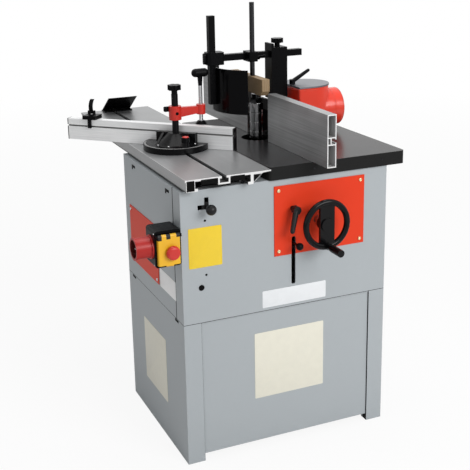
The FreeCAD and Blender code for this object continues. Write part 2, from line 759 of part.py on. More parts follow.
def guide_rail():
    """Fixed pair of flanged rails on a base plate, hooked over by the table's legs."""
    y0 = front + RAIL_SETBACK
    y1 = front - MAIN_TABLE_FRONT + MAIN_TABLE_DEPTH
    foot_top = TABLE_HEIGHT - LEG_DEPTH + FOOT_THICKNESS
    top = TABLE_HEIGHT - SLIDER_SKIN - SLIDING
    xa = left_leg_inner + SLIDING
    xb = right_leg_inner - SLIDING
    web_a = xa + LEG_FOOT + SLIDING
    web_b = xb - LEG_FOOT - SLIDING
    pieces = [box((web_a, y0, cabinet_top), (web_b, y1, cabinet_top + RAIL_BASE))]
    for x in (web_a, web_b - RAIL_WEB):
        pieces.append(box((x, y0, cabinet_top), (x + RAIL_WEB, y1, top)))
    pieces.append(box((xa, y0, foot_top + SLIDING), (web_a, y1, top)))
    pieces.append(box((web_b, y0, foot_top + SLIDING), (xb, y1, top)))
    return joined(*pieces)


# Spindle, carriage and lifting drive
def stacked(radius, heights, bore, base):
    """Spacer rings one on another."""
    rings = []
    z = base[2]
    for height in heights:
        ring = rod(radius, height - COLLAR_JOINT, (base[0], base[1], z))
        ring = ring.makeChamfer(COLLAR_CHAMFER, [edge for edge in ring.Edges if edge.Closed])
        rings.append(ring.cut(rod(bore, height, (base[0], base[1], z))))
        z += height
    return rings


def spindle_shaft():
    """Arbor with a shoulder, journal and pulley seat."""
    here = (spindle_x, spindle_y)
    low = rod(JOURNAL_RADIUS, shoulder_z - shaft_bottom, (*here, shaft_bottom))
    shoulder = rod(SHOULDER_RADIUS, SHOULDER_HEIGHT, (*here, shoulder_z))
    arbor = rod(ARBOR_RADIUS, TABLE_HEIGHT + ARBOR_RISE - shoulder_z, (*here, shoulder_z))
    return joined(low, shoulder, arbor)


def spindle_nut():
    """Six-sided clamping nut on the arbor."""
    base = collar_z + sum(COLLAR_HEIGHTS)
    corners = [(spindle_x + SPINDLE_NUT_RADIUS * math.cos(math.radians(FULL_TURN / NUT_SIDES * i)),
                spindle_y + SPINDLE_NUT_RADIUS * math.sin(math.radians(FULL_TURN / NUT_SIDES * i)),
                base) for i in range(NUT_SIDES)]
    nut = prism(corners, (0, 0, SPINDLE_NUT_HEIGHT))
    return nut.cut(rod(ARBOR_RADIUS, SPINDLE_NUT_HEIGHT, (spindle_x, spindle_y, base)))


def spindle_bearings():
    """Two bearings in the housing."""
    rings = []
    for z in (housing_top - BEARING_HEIGHT, housing_bottom):
        ring = rod(BEARING_RADIUS, BEARING_HEIGHT, (spindle_x, spindle_y, z))
        rings.append(ring.cut(rod(JOURNAL_RADIUS + RUNNING, BEARING_HEIGHT, (spindle_x, spindle_y, z))))
    return rings


def pulley(radius, bore, x, y):
    """Flat pulley with two rims."""
    z = pulley_z
    body = [rod(radius, PULLEY_HEIGHT, (x, y, z))]
    for rim_z in (z, z + PULLEY_HEIGHT - PULLEY_RIM):
        body.append(rod(radius + PULLEY_RIM_RISE, PULLEY_RIM, (x, y, rim_z)))
    return joined(*body).cut(rod(bore, PULLEY_HEIGHT, (x, y, z)))


def wrap(radius_a, radius_b, z, height):
    """Solid outline of a belt round the spindle and motor pulleys."""
    span = spindle_x - motor_x
    lean = math.asin((radius_b - radius_a) / span)
    corners = []
    for x, radius, side in ((spindle_x, radius_a, 1), (motor_x, radius_b, 1),
                            (motor_x, radius_b, -1), (spindle_x, radius_a, -1)):
        corners.append((x + radius * math.sin(lean), spindle_y + side * radius * math.cos(lean), z))
    middle = prism(corners, (0, 0, height))
    ends = [rod(radius_a, height, (spindle_x, spindle_y, z)),
            rod(radius_b, height, (motor_x, spindle_y, z))]
    return joined(middle, *ends)


def drive_belt():
    """Flat belt round both pulleys."""
    z = pulley_z + (PULLEY_HEIGHT - BELT_WIDTH) / 2
    inner_a = SPINDLE_PULLEY_RADIUS + SLIDING
    inner_b = MOTOR_PULLEY_RADIUS + SLIDING
    outer = wrap(inner_a + BELT_THICKNESS, inner_b + BELT_THICKNESS, z, BELT_WIDTH)
    return outer.cut(wrap(inner_a, inner_b, z, BELT_WIDTH))


def carriage():
    """Lifting casting: spindle housing, guide bosses, motor shelf and nut lug."""
    here = (spindle_x, spindle_y)
    pieces = [rod(HOUSING_RADIUS, HOUSING_LENGTH, (*here, housing_bottom))]
    guide_y = spindle_y + GUIDE_BEHIND
    for x in guide_xs:
        pieces.append(rod(GUIDE_BOSS_RADIUS, GUIDE_BOSS_LENGTH, (x, guide_y, shelf_z)))
    pieces.append(box((guide_xs[0], guide_y - WEB_THICKNESS / 2, shelf_z),
                      (guide_xs[1], guide_y + WEB_THICKNESS / 2, shelf_z + GUIDE_BOSS_LENGTH)))
    pieces.append(box((spindle_x - WEB_THICKNESS, spindle_y, shelf_z),
                      (spindle_x + WEB_THICKNESS, guide_y, shelf_z + GUIDE_BOSS_LENGTH)))
    shelf_half = MOTOR_RADIUS
    pieces.append(box((motor_x - shelf_half, spindle_y - shelf_half, shelf_z),
                      (spindle_x, spindle_y + shelf_half, shelf_z + SHELF_THICKNESS)))
    pieces.append(rod(NUT_LUG_RADIUS, SHELF_THICKNESS * 2, (wheel_x, screw_y, shelf_z)))
    pieces.append(box((wheel_x - WEB_THICKNESS, screw_y, shelf_z),
                      (wheel_x + WEB_THICKNESS, spindle_y, shelf_z + SHELF_THICKNESS)))
    belt_x = left + BELT_SLOT_FROM_LEFT
    for x in (belt_x - BELT_EYE_WIDTH / 2 - SLIDING - BELT_EAR, belt_x + BELT_EYE_WIDTH / 2 + SLIDING):
        pieces.append(box((x, belt_pivot_y - BELT_EYE_RADIUS, shelf_z),
                          (x + BELT_EAR, spindle_y - shelf_half, belt_lever_z + BELT_EYE_RADIUS)))
    pieces.append(rod(BELT_PIN_RADIUS, BELT_EYE_WIDTH + 2 * SLIDING,
                      (belt_x - BELT_EYE_WIDTH / 2 - SLIDING, belt_pivot_y, belt_lever_z), X_AXIS))
    body = joined(*pieces)
    cutters = [rod(JOURNAL_RADIUS + LOOSE, HOUSING_LENGTH, (*here, housing_bottom)),
               rod(SCREW_NUT_RADIUS, SHELF_THICKNESS * 2, (wheel_x, screw_y, shelf_z)),
               rod(MOTOR_SHAFT_RADIUS + LOOSE, SHELF_THICKNESS, (motor_x, spindle_y, shelf_z))]
    for z in (housing_top - BEARING_HEIGHT, housing_bottom):
        cutters.append(rod(BEARING_RADIUS, BEARING_HEIGHT, (*here, z)))
    for x in guide_xs:
        cutters.append(rod(GUIDE_RADIUS + RUNNING, GUIDE_BOSS_LENGTH, (x, guide_y, shelf_z)))
    return body.cut(cutters).removeSplitter()


def lift_nut():
    """Bronze nut in the carriage lug."""
    base = (wheel_x, screw_y, shelf_z)
    height = SHELF_THICKNESS * 2
    return rod(SCREW_NUT_RADIUS, height, base).cut(rod(SCREW_RADIUS + RUNNING, height, base))


def motor():
    """Finned motor body standing on the shelf."""
    z = shelf_z + SHELF_THICKNESS
    pieces = [rod(MOTOR_RADIUS - MOTOR_FIN_HEIGHT, MOTOR_LENGTH, (motor_x, spindle_y, z)),
              rod(MOTOR_RADIUS, MOTOR_CAP, (motor_x, spindle_y, z)),
              rod(MOTOR_RADIUS, MOTOR_CAP, (motor_x, spindle_y, z + MOTOR_LENGTH - MOTOR_CAP))]
    fin = box((motor_x, spindle_y - MOTOR_FIN_WIDTH / 2, z),
              (motor_x + MOTOR_RADIUS, spindle_y + MOTOR_FIN_WIDTH / 2, z + MOTOR_LENGTH))
    for i in range(MOTOR_FIN_COUNT):
        pieces.append(turned(fin, FULL_TURN * i / MOTOR_FIN_COUNT, (motor_x, spindle_y, z)))
    return joined(*pieces).cut(rod(MOTOR_SHAFT_RADIUS + RUNNING, MOTOR_CAP, (motor_x, spindle_y, z)))


def motor_pulley():
    """Driving pulley on the motor's shaft stub."""
    top = shelf_z + SHELF_THICKNESS + MOTOR_CAP - LOOSE
    shaft = rod(MOTOR_SHAFT_RADIUS, top - pulley_z, (motor_x, spindle_y, pulley_z))
    return joined(pulley(MOTOR_PULLEY_RADIUS, MOTOR_SHAFT_RADIUS / 2, motor_x, spindle_y), shaft)


def guide_columns():
    """Two ground columns the carriage slides on."""
    return [rod(GUIDE_RADIUS, beam_top_z - beam_low_z - BEAM_HEIGHT,
                (x, spindle_y + GUIDE_BEHIND, beam_low_z + BEAM_HEIGHT))
            for x in guide_xs]


def column_beams():
    """Beams that hold the columns against the back wall."""
    y = spindle_y + GUIDE_BEHIND
    beams = []
    for z in (beam_low_z, beam_top_z):
        beams.append(box((guide_xs[0] - BEAM_END, y - GUIDE_RADIUS - BEAM_EDGE, z),
                         (guide_xs[1] + BEAM_END, back - SHEET, z + BEAM_HEIGHT)))
    return beams


def gear_outline(reach):
    """Star-shaped outline of the teeth on a plane at one distance from the crossing of both axes."""
    addendum = ADDENDUM_SHARE * GEAR_MODULE
    dedendum = DEDENDUM_SHARE * GEAR_MODULE
    half = TOOTH_SHARE * math.pi * GEAR_MODULE / 2
    flank = math.tan(math.radians(FLANK_ANGLE))
    slope = 1 / math.sqrt(2)
    corners = []
    for height, side in ((-dedendum, -1), (addendum, -1), (addendum, 1), (-dedendum, 1)):
        scale = reach / (gear_radius - height * slope)
        corners.append(V(side * (half - height * flank), -gear_radius - height * slope, 0) * scale)
    points = []
    for i in range(GEAR_TEETH):
        turn = FreeCAD.Rotation(Z_AXIS, FULL_TURN * i / GEAR_TEETH)
        points += [turn.multVec(corner) + V(wheel_x, screw_y, handwheel_z - reach) for corner in corners]
    return Part.makePolygon(points + points[:1])


def bevel_blank(tail_radius, tail, *fixed):
    """Bevel gear whose teeth all run to the crossing of both axes, with a hub, a shaft and fixed pieces."""
    small = gear_radius - GEAR_FACE / math.sqrt(2)
    teeth = Part.makeLoft([gear_outline(gear_radius), gear_outline(small)], True, True)
    gear_z = handwheel_z - gear_radius
    hub = gear_z - bracket_z - BRACKET_PLATE - SLIDING
    return joined(teeth, rod(gear_radius * GEAR_HUB_SHARE, hub, (wheel_x, screw_y, gear_z - hub)),
                  rod(tail_radius, tail, (wheel_x, screw_y, gear_z - hub - tail)), *fixed)


def lift_screw():
    """Lifting screw with its bevel gear on top and a thrust collar under the bearing bracket."""
    collar = rod(SCREW_COLLAR_RADIUS, SCREW_COLLAR, (wheel_x, screw_y, bracket_z - SLIDING - SCREW_COLLAR))
    return bevel_blank(SCREW_RADIUS, bracket_z + BRACKET_PLATE + SLIDING - screw_low_z, collar)


def drive_bracket():
    """Bracket on the front wall with bearings for the handwheel shaft and the screw."""
    half = BRACKET_WIDTH / 2
    foot = box((wheel_x - half, front + SHEET, bracket_z),
               (wheel_x + half, screw_y + half, bracket_z + BRACKET_PLATE))
    wall_y = screw_y - SHAFT_BEARING_BEFORE
    wall = box((wheel_x - half, wall_y, bracket_z),
               (wheel_x + half, wall_y + BRACKET_PLATE, handwheel_z + half))
    face = box((wheel_x - half, front + SHEET, bracket_z),
               (wheel_x + half, front + SHEET + BRACKET_PLATE, handwheel_z + half))
    body = joined(foot, wall, face)
    shaft_bore = rod(WHEEL_SHAFT_RADIUS + RUNNING, CABINET_DEPTH, (wheel_x, front, handwheel_z), Y_AXIS)
    screw_bore = rod(SCREW_RADIUS + RUNNING, BRACKET_PLATE, (wheel_x, screw_y, bracket_z))
    return body.cut([shaft_bore, screw_bore])


def pinion_shaft():
    """Handwheel shaft with the matching gear, turned onto the shaft's line half a tooth on."""
    crossing = (wheel_x, screw_y, handwheel_z)
    hub_end = handwheel_z - bracket_z - BRACKET_PLATE - SLIDING
    blank = bevel_blank(WHEEL_SHAFT_RADIUS, screw_y - hub_end - wheel_y)
    return turned(turned(blank, FULL_TURN / 2 / GEAR_TEETH, crossing), -QUARTER_TURN, crossing, X_AXIS)


def handwheel():
    """Dished wheel: round rim, broad flat spoke, a hub and a pin for the grip."""
    rim = Part.makeTorus(rim_orbit, HANDWHEEL_RIM, V(wheel_x, wheel_y, handwheel_z), Y_AXIS)
    half = HANDWHEEL_SPOKE / 2
    spoke = box((wheel_x - half, wheel_y - SPOKE_THICKNESS / 2, handwheel_z - rim_orbit),
                (wheel_x + half, wheel_y + SPOKE_THICKNESS / 2, handwheel_z + rim_orbit))
    hub = rod(HUB_RADIUS, HUB_LENGTH, (wheel_x, wheel_y - SPOKE_THICKNESS, handwheel_z), Y_AXIS)
    boss = rod(GRIP_RADIUS, GRIP_BOSS, (wheel_x, wheel_y - GRIP_BOSS, grip_z), Y_AXIS)
    pin_length = GRIP_LENGTH - GRIP_CAP - LOOSE
    pin = rod(GRIP_PIN_RADIUS, pin_length + GRIP_BOSS, (wheel_x, grip_y - pin_length, grip_z), Y_AXIS)
    bore = rod(WHEEL_SHAFT_RADIUS, HUB_LENGTH, (wheel_x, wheel_y, handwheel_z), Y_AXIS)
    return joined(rim, spoke, hub, boss, pin).cut(bore)


def crank_grip():
    """Turning grip on the wheel's pin, waisted near the wheel."""
    away = V(0, -1, 0)
    neck = cone(GRIP_RADIUS * GRIP_WAIST, GRIP_RADIUS, GRIP_NECK, (wheel_x, grip_y, grip_z), away)
    body = rod(GRIP_RADIUS, GRIP_LENGTH - GRIP_NECK, (wheel_x, grip_y - GRIP_NECK, grip_z), away)
    bore = rod(GRIP_PIN_RADIUS + RUNNING, GRIP_LENGTH - GRIP_CAP, (wheel_x, grip_y, grip_z), away)
    return joined(neck, body).cut(bore)


def lever(length, radius, stem, base, axis_out, droop):
    """Clamp lever: a stem, a round hub and a tapered arm with a round end, pointing along droop."""
    x, y, z = base
    out = axis_out
    hub_base = V(x, y, z) + out * stem
    hub = Part.makeCylinder(radius * LEVER_HUB_SHARE, radius * 2, hub_base, out)
    arm_base = hub_base + out * radius
    arm = Part.makeCone(radius, radius * LEVER_TIP_SHARE, length, arm_base, droop)
    tip = Part.makeSphere(radius * LEVER_TIP_SHARE, arm_base + droop * length)
    return joined(hub, arm, tip)


def height_lock_lever():
    """Lever that locks the spindle height, on a stem through the control plate."""
    x = left + LOCK_LEVER_FROM_LEFT
    stem_length = LOCK_LEVER_STANDOFF + LOCK_STEM_INSIDE
    stem = rod(LOCK_STEM_RADIUS, stem_length, (x, front - LOCK_LEVER_STANDOFF, lock_lever_z), Y_AXIS)
    washer = rod(LOCK_STEM_RADIUS * 2, LOCK_WASHER, (x, front + SHEET + SLIDING, lock_lever_z), Y_AXIS)
    droop = V(-math.sin(math.radians(LOCK_LEVER_LEAN)), -LOCK_LEVER_OUT,
              -math.cos(math.radians(LOCK_LEVER_LEAN)))
    head = lever(LOCK_LEVER_LENGTH, LOCK_LEVER_RADIUS, 0,
                 (x, front - LOCK_LEVER_STANDOFF + LOCK_LEVER_RADIUS, lock_lever_z),
                 V(0, -1, 0), droop.normalize())
    return joined(stem, washer, head)


def belt_lever():
    """Belt lever: a rod from the carriage out through the long slot, with a ball knob."""
    x = left + BELT_SLOT_FROM_LEFT
    y0 = front - PLATE_THICKNESS - BELT_KNOB_REACH
    shaft = rod(BELT_ROD_RADIUS, belt_pivot_y - y0, (x, y0, belt_lever_z), Y_AXIS)
    knob = ball(BELT_KNOB_RADIUS, (x, y0, belt_lever_z))
    eye = rod(BELT_EYE_RADIUS, BELT_EYE_WIDTH, (x - BELT_EYE_WIDTH / 2, belt_pivot_y, belt_lever_z), X_AXIS)
    hole = rod(BELT_PIN_RADIUS + RUNNING, BELT_EYE_WIDTH,
               (x - BELT_EYE_WIDTH / 2, belt_pivot_y, belt_lever_z), X_AXIS)
    return joined(shaft, knob, eye).cut(hole)


def spindle_lock():
    """Spindle lock: a ball knob on a rod that runs in the L slot."""
    x = left + SPINDLE_LOCK_FROM_LEFT
    y0 = front - SPINDLE_LOCK_REACH
    stem = rod(SPINDLE_LOCK_ROD, SPINDLE_LOCK_REACH + LOCK_ROD_INSIDE, (x, y0, spindle_lock_z), Y_AXIS)
    washer = box((x - LOCK_SLOT_WIDTH, front + SHEET + SLIDING, spindle_lock_z - LOCK_SLOT_WIDTH),
                 (x + LOCK_SLOT_WIDTH, front + SHEET + SLIDING + LOCK_WASHER,
                  spindle_lock_z + LOCK_SLOT_WIDTH))
    return joined(stem, washer, ball(SPINDLE_LOCK_KNOB, (x, y0, spindle_lock_z)))


# Switch and power inlet
def switch_box():
    """Switch housing on the left wall, with two ears that hold the cover's hinge pin."""
    body = rounded(box((left - SWITCH_WIDTH, front, switch_z),
                       (left, front + SWITCH_DEPTH, switch_z + SWITCH_HEIGHT)), SWITCH_CORNER, Y_AXIS)
    ears = []
    for x in (cover_x0 - SLIDING - EAR_WIDTH, cover_x0 + COVER_WIDTH + SLIDING):
        ears.append(box((x, front - COVER_THICKNESS, cover_hinge_z - EAR_WIDTH),
                        (x + EAR_WIDTH, front, cover_hinge_z + EAR_WIDTH)))
    pin = rod(COVER_PIN_RADIUS, COVER_WIDTH + 2 * SLIDING,
              (cover_x0 - SLIDING, cover_hinge_y, cover_hinge_z), X_AXIS)
    return joined(body, *ears, pin)


def switch_cover():
    """Yellow hinged cover with a hole for the stop button."""
    z0 = switch_z + COVER_MARGIN
    slab = box((cover_x0, front - COVER_THICKNESS, z0),
               (cover_x0 + COVER_WIDTH, front - SLIDING, cover_hinge_z))
    slab = slab.makeFillet(COVER_EDGE, [e for e in along(slab, Z_AXIS) if e.BoundBox.YMax < cover_hinge_y])
    barrel = rod(COVER_THICKNESS / 2 - SLIDING, COVER_WIDTH, (cover_x0, cover_hinge_y, cover_hinge_z),
                 X_AXIS)
    hole = rod(COVER_PIN_RADIUS + RUNNING, COVER_WIDTH, (cover_x0, cover_hinge_y, cover_hinge_z), X_AXIS)
    button = rod(STOP_STEM_RADIUS + RUNNING, COVER_THICKNESS, (stop_x, front - COVER_THICKNESS, stop_z),
                 Y_AXIS)
    return joined(slab, barrel).cut([hole, button])


def stop_button():
    """Red mushroom head on a stem that slides in the cover."""
    face = front - COVER_THICKNESS - STOP_TRAVEL - LOOSE
    head = rod(STOP_RADIUS, STOP_HEAD, (stop_x, face - STOP_HEAD, stop_z), Y_AXIS)
    head = head.makeFillet(STOP_HEAD * DOME_SHARE,
                           [e for e in head.Edges if e.Closed and e.BoundBox.YMax < face - LOOSE])
    stem = rod(STOP_STEM_RADIUS, front - SLIDING - STOP_TRAVEL - LOOSE - face, (stop_x, face, stop_z),
               Y_AXIS)
    return joined(head, stem)


def power_inlet():
    """Round inlet with a shroud, a mounting flange and an inner block that carries the pins."""
    x0 = left - SWITCH_WIDTH
    away = V(-1, 0, 0)
    here = (x0, inlet_y, inlet_z)
    shroud = joined(rod(INLET_RADIUS, INLET_REACH, here, away),
                    rod(INLET_RADIUS + INLET_WALL, INLET_FLANGE, here, away),
                    rod(INLET_RADIUS + INLET_LIP, INLET_FLANGE,
                        (x0 - INLET_REACH + INLET_FLANGE, inlet_y, inlet_z), away))
    return shroud.cut(rod(INLET_RADIUS - INLET_WALL, INLET_REACH, (x0 - INLET_BLOCK, inlet_y, inlet_z),
                          away))


def inlet_pins():
    """Contact pins in a circle."""
    pins = []
    for i in range(INLET_PIN_COUNT):
        angle = math.radians(FULL_TURN * i / INLET_PIN_COUNT)
        base = (left - SWITCH_WIDTH - INLET_BLOCK, inlet_y + INLET_PIN_ORBIT * math.sin(angle),
                inlet_z - INLET_PIN_ORBIT * math.cos(angle))
        pins.append(rod(INLET_PIN_RADIUS, INLET_PIN_LENGTH, base, V(-1, 0, 0)))
    return pins


def star_knob(radius, height, base, axis=Z_AXIS):
    """Hand knob with scalloped sides, on a short neck."""
    body = Part.makeCylinder(radius, height * (1 - NECK_SHARE), V(*base) + axis * (height * NECK_SHARE),
                             axis)
    side = Y_AXIS if axis == X_AXIS else X_AXIS
    scallops = []
    for i in range(KNOB_LOBES):
        scoop = Part.makeCylinder(radius * SCOOP_SHARE, height * 2,
                                  V(*base) + side * (radius * SCOOP_OUT), axis)
        scallops.append(turned(scoop, FULL_TURN * i / KNOB_LOBES, base, axis))
    neck = Part.makeCylinder(radius * NECK_SHARE, height, V(*base), axis)
    return body.cut(scallops).fuse(neck).removeSplitter()


def slot_bolt(x, y, radius, top):
    """Round-headed bolt held in the sliding table's slot, with a neck that stands up to a height."""
    under = TABLE_HEIGHT - SLIDER_SKIN - SLIDING
    head = rod(SLOT_WIDTH / 2 - LOOSE, BOLT_HEAD, (x, y, under - BOLT_HEAD))
    return joined(head, rod(radius, top - under + BOLT_HEAD, (x, y, under - BOLT_HEAD)))


def edging_shoe():
    """Bent plate clamped in the slot near the far end, leaning back over the table."""
    y1 = slider_y1 - SHOE_INSET
    z = TABLE_HEIGHT + SLIDING
    x0 = slot_x + SHOE_SHIFT - SHOE_WIDTH / 2
    base = box((x0, y1 - SHOE_BASE, z), (x0 + SHOE_WIDTH, y1, z + SHOE_SHEET))
    lean = [(x0, y1, z),
            (x0, y1 - SHOE_FLAP_LEAN, z + SHOE_FLAP_RISE),
            (x0, y1 - SHOE_FLAP_LEAN - SHOE_SHEET, z + SHOE_FLAP_RISE),
            (x0, y1 - SHOE_SHEET * 2, z)]
    flap = prism(lean, (SHOE_WIDTH, 0, 0))
    bolt = slot_bolt(slot_x, y1 - SHOE_BASE / 2, LOCK_STUD_RADIUS, z + SHOE_SHEET + BOLT_HEAD / 2)
    return joined(base, flap, bolt)


# Mitre fence, head and hold-down clamp, drawn square at the pivot and then swung
def swung(shape):
    """Put a shape drawn about the pivot at the fence's angle."""
    return moved(turned(shape, MITRE_ANGLE, (0, 0, 0)), slot_x, pivot_y)


def mitre_head():
    """Half-round cast base with a curved clamp slot, a ribbed cone, a hub and a fence plate."""
    z = TABLE_HEIGHT + SLIDING
    disc = rod(HEAD_RADIUS, HEAD_THICKNESS, (0, 0, z))
    rise = cone(HEAD_CONE_RADIUS, HEAD_HUB_RADIUS, HEAD_HUB_RISE - HEAD_THICKNESS,
                (0, 0, z + HEAD_THICKNESS))
    plate = box((-HEAD_PLATE / 2, MITRE_FENCE_OFFSET - HEAD_THICKNESS, z),
                (HEAD_PLATE / 2, MITRE_FENCE_OFFSET, z + HEAD_HUB_RISE))
    lugs = []
    for side in (-1, 1):
        x = side * HEAD_RIB_SPREAD
        rib = prism([(x, 0, z), (x, 0, z + HEAD_HUB_RISE), (x, -rib_reach, z + HEAD_THICKNESS),
                     (x, -rib_reach, z)],
                    (-side * HEAD_RIB, 0, 0))
        lugs.append(rib)
    body = joined(disc, rise, plate, *lugs)
    beyond = box((-HEAD_RADIUS, MITRE_FENCE_OFFSET, z), (HEAD_RADIUS, HEAD_RADIUS, z + HEAD_HUB_RISE))
    bore = rod(COLUMN_RADIUS, HEAD_HUB_RISE, (0, 0, z))
    half = LOCK_STUD_RADIUS + LOOSE
    ring = rod(LOCK_ORBIT + half, HEAD_HUB_RISE,
               (0, 0, z)).cut(rod(LOCK_ORBIT - half, HEAD_HUB_RISE, (0, 0, z)))
    square = -QUARTER_TURN - MITRE_ANGLE
    angles = [square - MITRE_SWING_ON - SLOT_SPARE, square, square + MITRE_SWING_BACK + SLOT_SPARE]
    wedge = prism([(0, 0, z)] + [(HEAD_RADIUS * 2 * math.cos(math.radians(a)),
                                  HEAD_RADIUS * 2 * math.sin(math.radians(a)), z)
                                 for a in angles], (0, 0, HEAD_HUB_RISE))
    return swung(body.cut([beyond, bore, ring.common(wedge)]).removeSplitter())


def mitre_fence():
    """Hollow fence extrusion with a clamp slot along its front face."""
    y0 = MITRE_FENCE_OFFSET
    y1 = y0 + MITRE_FENCE_THICKNESS
    z0 = TABLE_HEIGHT + SLIDING
    z1 = z0 + MITRE_FENCE_HEIGHT
    wall = MITRE_FENCE_WALL
    slot_z = z1 - MITRE_SLOT_DROP

    def strip(ya, za, yb, zb):
        return box((-MITRE_FENCE_LEFT, ya, za), (MITRE_FENCE_RIGHT, yb, zb))

    room = MITRE_SLOT_MOUTH
    cavities = [strip(y0 + wall, z0 + wall, y1 - wall, slot_z - room - wall),
                strip(y0 + wall, slot_z + room + wall, y1 - wall, z1 - wall),
                strip(y0, slot_z - room / 2, y0 + wall, slot_z + room / 2),
                strip(y0 + wall, slot_z - room, y0 + wall + room, slot_z + room)]
    return swung(strip(y0, z0, y1, z1).cut(cavities))


def clamp_column():
    """Pivot column that stands in the slot and carries the clamp arm."""
    bolt = slot_bolt(0, 0, SLOT_MOUTH / 2 - LOOSE, TABLE_HEIGHT + SLIDING)
    return swung(joined(bolt, rod(COLUMN_RADIUS, COLUMN_RISE, (0, 0, TABLE_HEIGHT + SLIDING))))


def clamp_arm():
    """Cast arm: split boss on the column, tapered web and a screw boss."""
    z = TABLE_HEIGHT + ARM_RISE
    end_z = z + (ARM_HEIGHT - ARM_END_HEIGHT) / 2 + ARM_END_SHIFT
    boss = rod(ARM_BOSS_RADIUS, ARM_HEIGHT, (0, 0, z))
    end = rod(ARM_END_RADIUS, ARM_END_HEIGHT, (ARM_LENGTH, 0, end_z))
    web = prism([(0, -ARM_WEB / 2, z + ARM_EDGE), (0, -ARM_WEB / 2, z + ARM_HEIGHT - ARM_EDGE),
                 (ARM_LENGTH, -ARM_WEB / 2, end_z + ARM_END_HEIGHT - ARM_EDGE),
                 (ARM_LENGTH, -ARM_WEB / 2, end_z + ARM_EDGE)],
                (0, ARM_WEB, 0))
    cutters = [rod(COLUMN_RADIUS + RUNNING, ARM_HEIGHT, (0, 0, z)),
               rod(CLAMP_SCREW_RADIUS + RUNNING, ARM_END_HEIGHT, (ARM_LENGTH, 0, end_z))]
    arm = joined(boss, end, web).cut(cutters)
    return moved(turned(arm, ARM_ANGLE, (0, 0, 0)), slot_x, pivot_y)


def clamp_screw():
    """Clamp screw with a rounded T handle."""
    z0 = TABLE_HEIGHT + CLAMP_PAD_RISE + CLAMP_PAD_HEIGHT
    handle_z = TABLE_HEIGHT + CLAMP_HANDLE_TOP - CLAMP_HANDLE_RADIUS
    neck_z = handle_z - CLAMP_NECK_LENGTH
    reach = CLAMP_HANDLE_LENGTH / 2 - CLAMP_HANDLE_RADIUS
    stem = rod(CLAMP_SCREW_RADIUS, handle_z - z0, (clamp_x, clamp_y, z0))
    neck = cone(CLAMP_SCREW_RADIUS, CLAMP_NECK_RADIUS, handle_z - neck_z, (clamp_x, clamp_y, neck_z))
    bar = rod(CLAMP_HANDLE_RADIUS, reach * 2, (clamp_x - reach, clamp_y, handle_z), X_AXIS)
    ends = [ball(CLAMP_HANDLE_RADIUS, (clamp_x + side * reach, clamp_y, handle_z)) for side in (-1, 1)]
    return joined(stem, neck, bar, *ends)


def clamp_pad():
    """Pad under the clamp screw."""
    z = TABLE_HEIGHT + CLAMP_PAD_RISE
    return cone(CLAMP_PAD_RADIUS, CLAMP_PAD_RADIUS * PAD_TOP_SHARE, CLAMP_PAD_HEIGHT, (clamp_x, clamp_y, z))


def mitre_lock():
    """Knob on a slot bolt that clamps the half-round base."""
    y = pivot_y - LOCK_ORBIT
    seat = TABLE_HEIGHT + SLIDING + HEAD_THICKNESS + SLIDING
    knob = cone(LOCK_KNOB_RADIUS, LOCK_KNOB_RADIUS * LOCK_KNOB_WAIST, LOCK_KNOB_HEIGHT / 2,
                (slot_x, y, seat))
    cap = rod(LOCK_KNOB_RADIUS, LOCK_KNOB_HEIGHT / 2, (slot_x, y, seat + LOCK_KNOB_HEIGHT / 2))
    return joined(slot_bolt(slot_x, y, LOCK_STUD_RADIUS, seat), knob, cap)


def stop_carrier():
    """Block that slides on the mitre fence, with a lip, a key in the slot and an ear for the finger."""
    u0 = -MITRE_FENCE_LEFT + STOP_FROM_LEFT
    top = TABLE_HEIGHT + SLIDING + MITRE_FENCE_HEIGHT
    y0 = MITRE_FENCE_OFFSET
    y1 = y0 + MITRE_FENCE_THICKNESS
    slot_z = top - MITRE_SLOT_DROP
    base = box((u0, y0 - STOP_LIP - SLIDING, top + SLIDING),
               (u0 + STOP_LENGTH, stop_pin_y + STOP_EAR, top + SLIDING + STOP_BASE_HEIGHT))
    tab_u = u0 + (STOP_LENGTH - STOP_TAB) / 2
    lip = box((tab_u, y0 - STOP_LIP - SLIDING, slot_z - MITRE_SLOT_MOUTH),
              (tab_u + STOP_TAB, y0 - SLIDING, top + SLIDING))
    key = box((tab_u, y0 - STOP_LIP, slot_z - MITRE_SLOT_MOUTH / 2 + SLIDING),
              (tab_u + STOP_TAB, y0 + MITRE_FENCE_WALL, slot_z + MITRE_SLOT_MOUTH / 2 - SLIDING))
    ears = []
    for u in (u0 + FINGER_FROM_LEFT - FINGER_WIDTH / 2 - SLIDING - STOP_EAR,
              u0 + FINGER_FROM_LEFT + FINGER_WIDTH / 2 + SLIDING):
        ears.append(box((u, stop_pin_y - STOP_EAR, top + SLIDING),
                        (u + STOP_EAR, stop_pin_y + STOP_EAR, stop_pin_z + STOP_EAR)))
    notch = box((u0 + FINGER_FROM_LEFT - FINGER_WIDTH / 2 - SLIDING, stop_pin_y - FINGER_NOTCH, top),
                (u0 + FINGER_FROM_LEFT + FINGER_WIDTH / 2 + SLIDING, stop_pin_y + FINGER_NOTCH * 2,
                 stop_pin_z))
    pin = rod(STOP_PIN_RADIUS, FINGER_WIDTH + 2 * SLIDING + STOP_EAR,
              (u0 + FINGER_FROM_LEFT - FINGER_WIDTH / 2 - SLIDING - STOP_EAR / 2, stop_pin_y, stop_pin_z),
              X_AXIS)
    return swung(joined(base, lip, key, *ears).cut(notch).fuse(pin).removeSplitter())


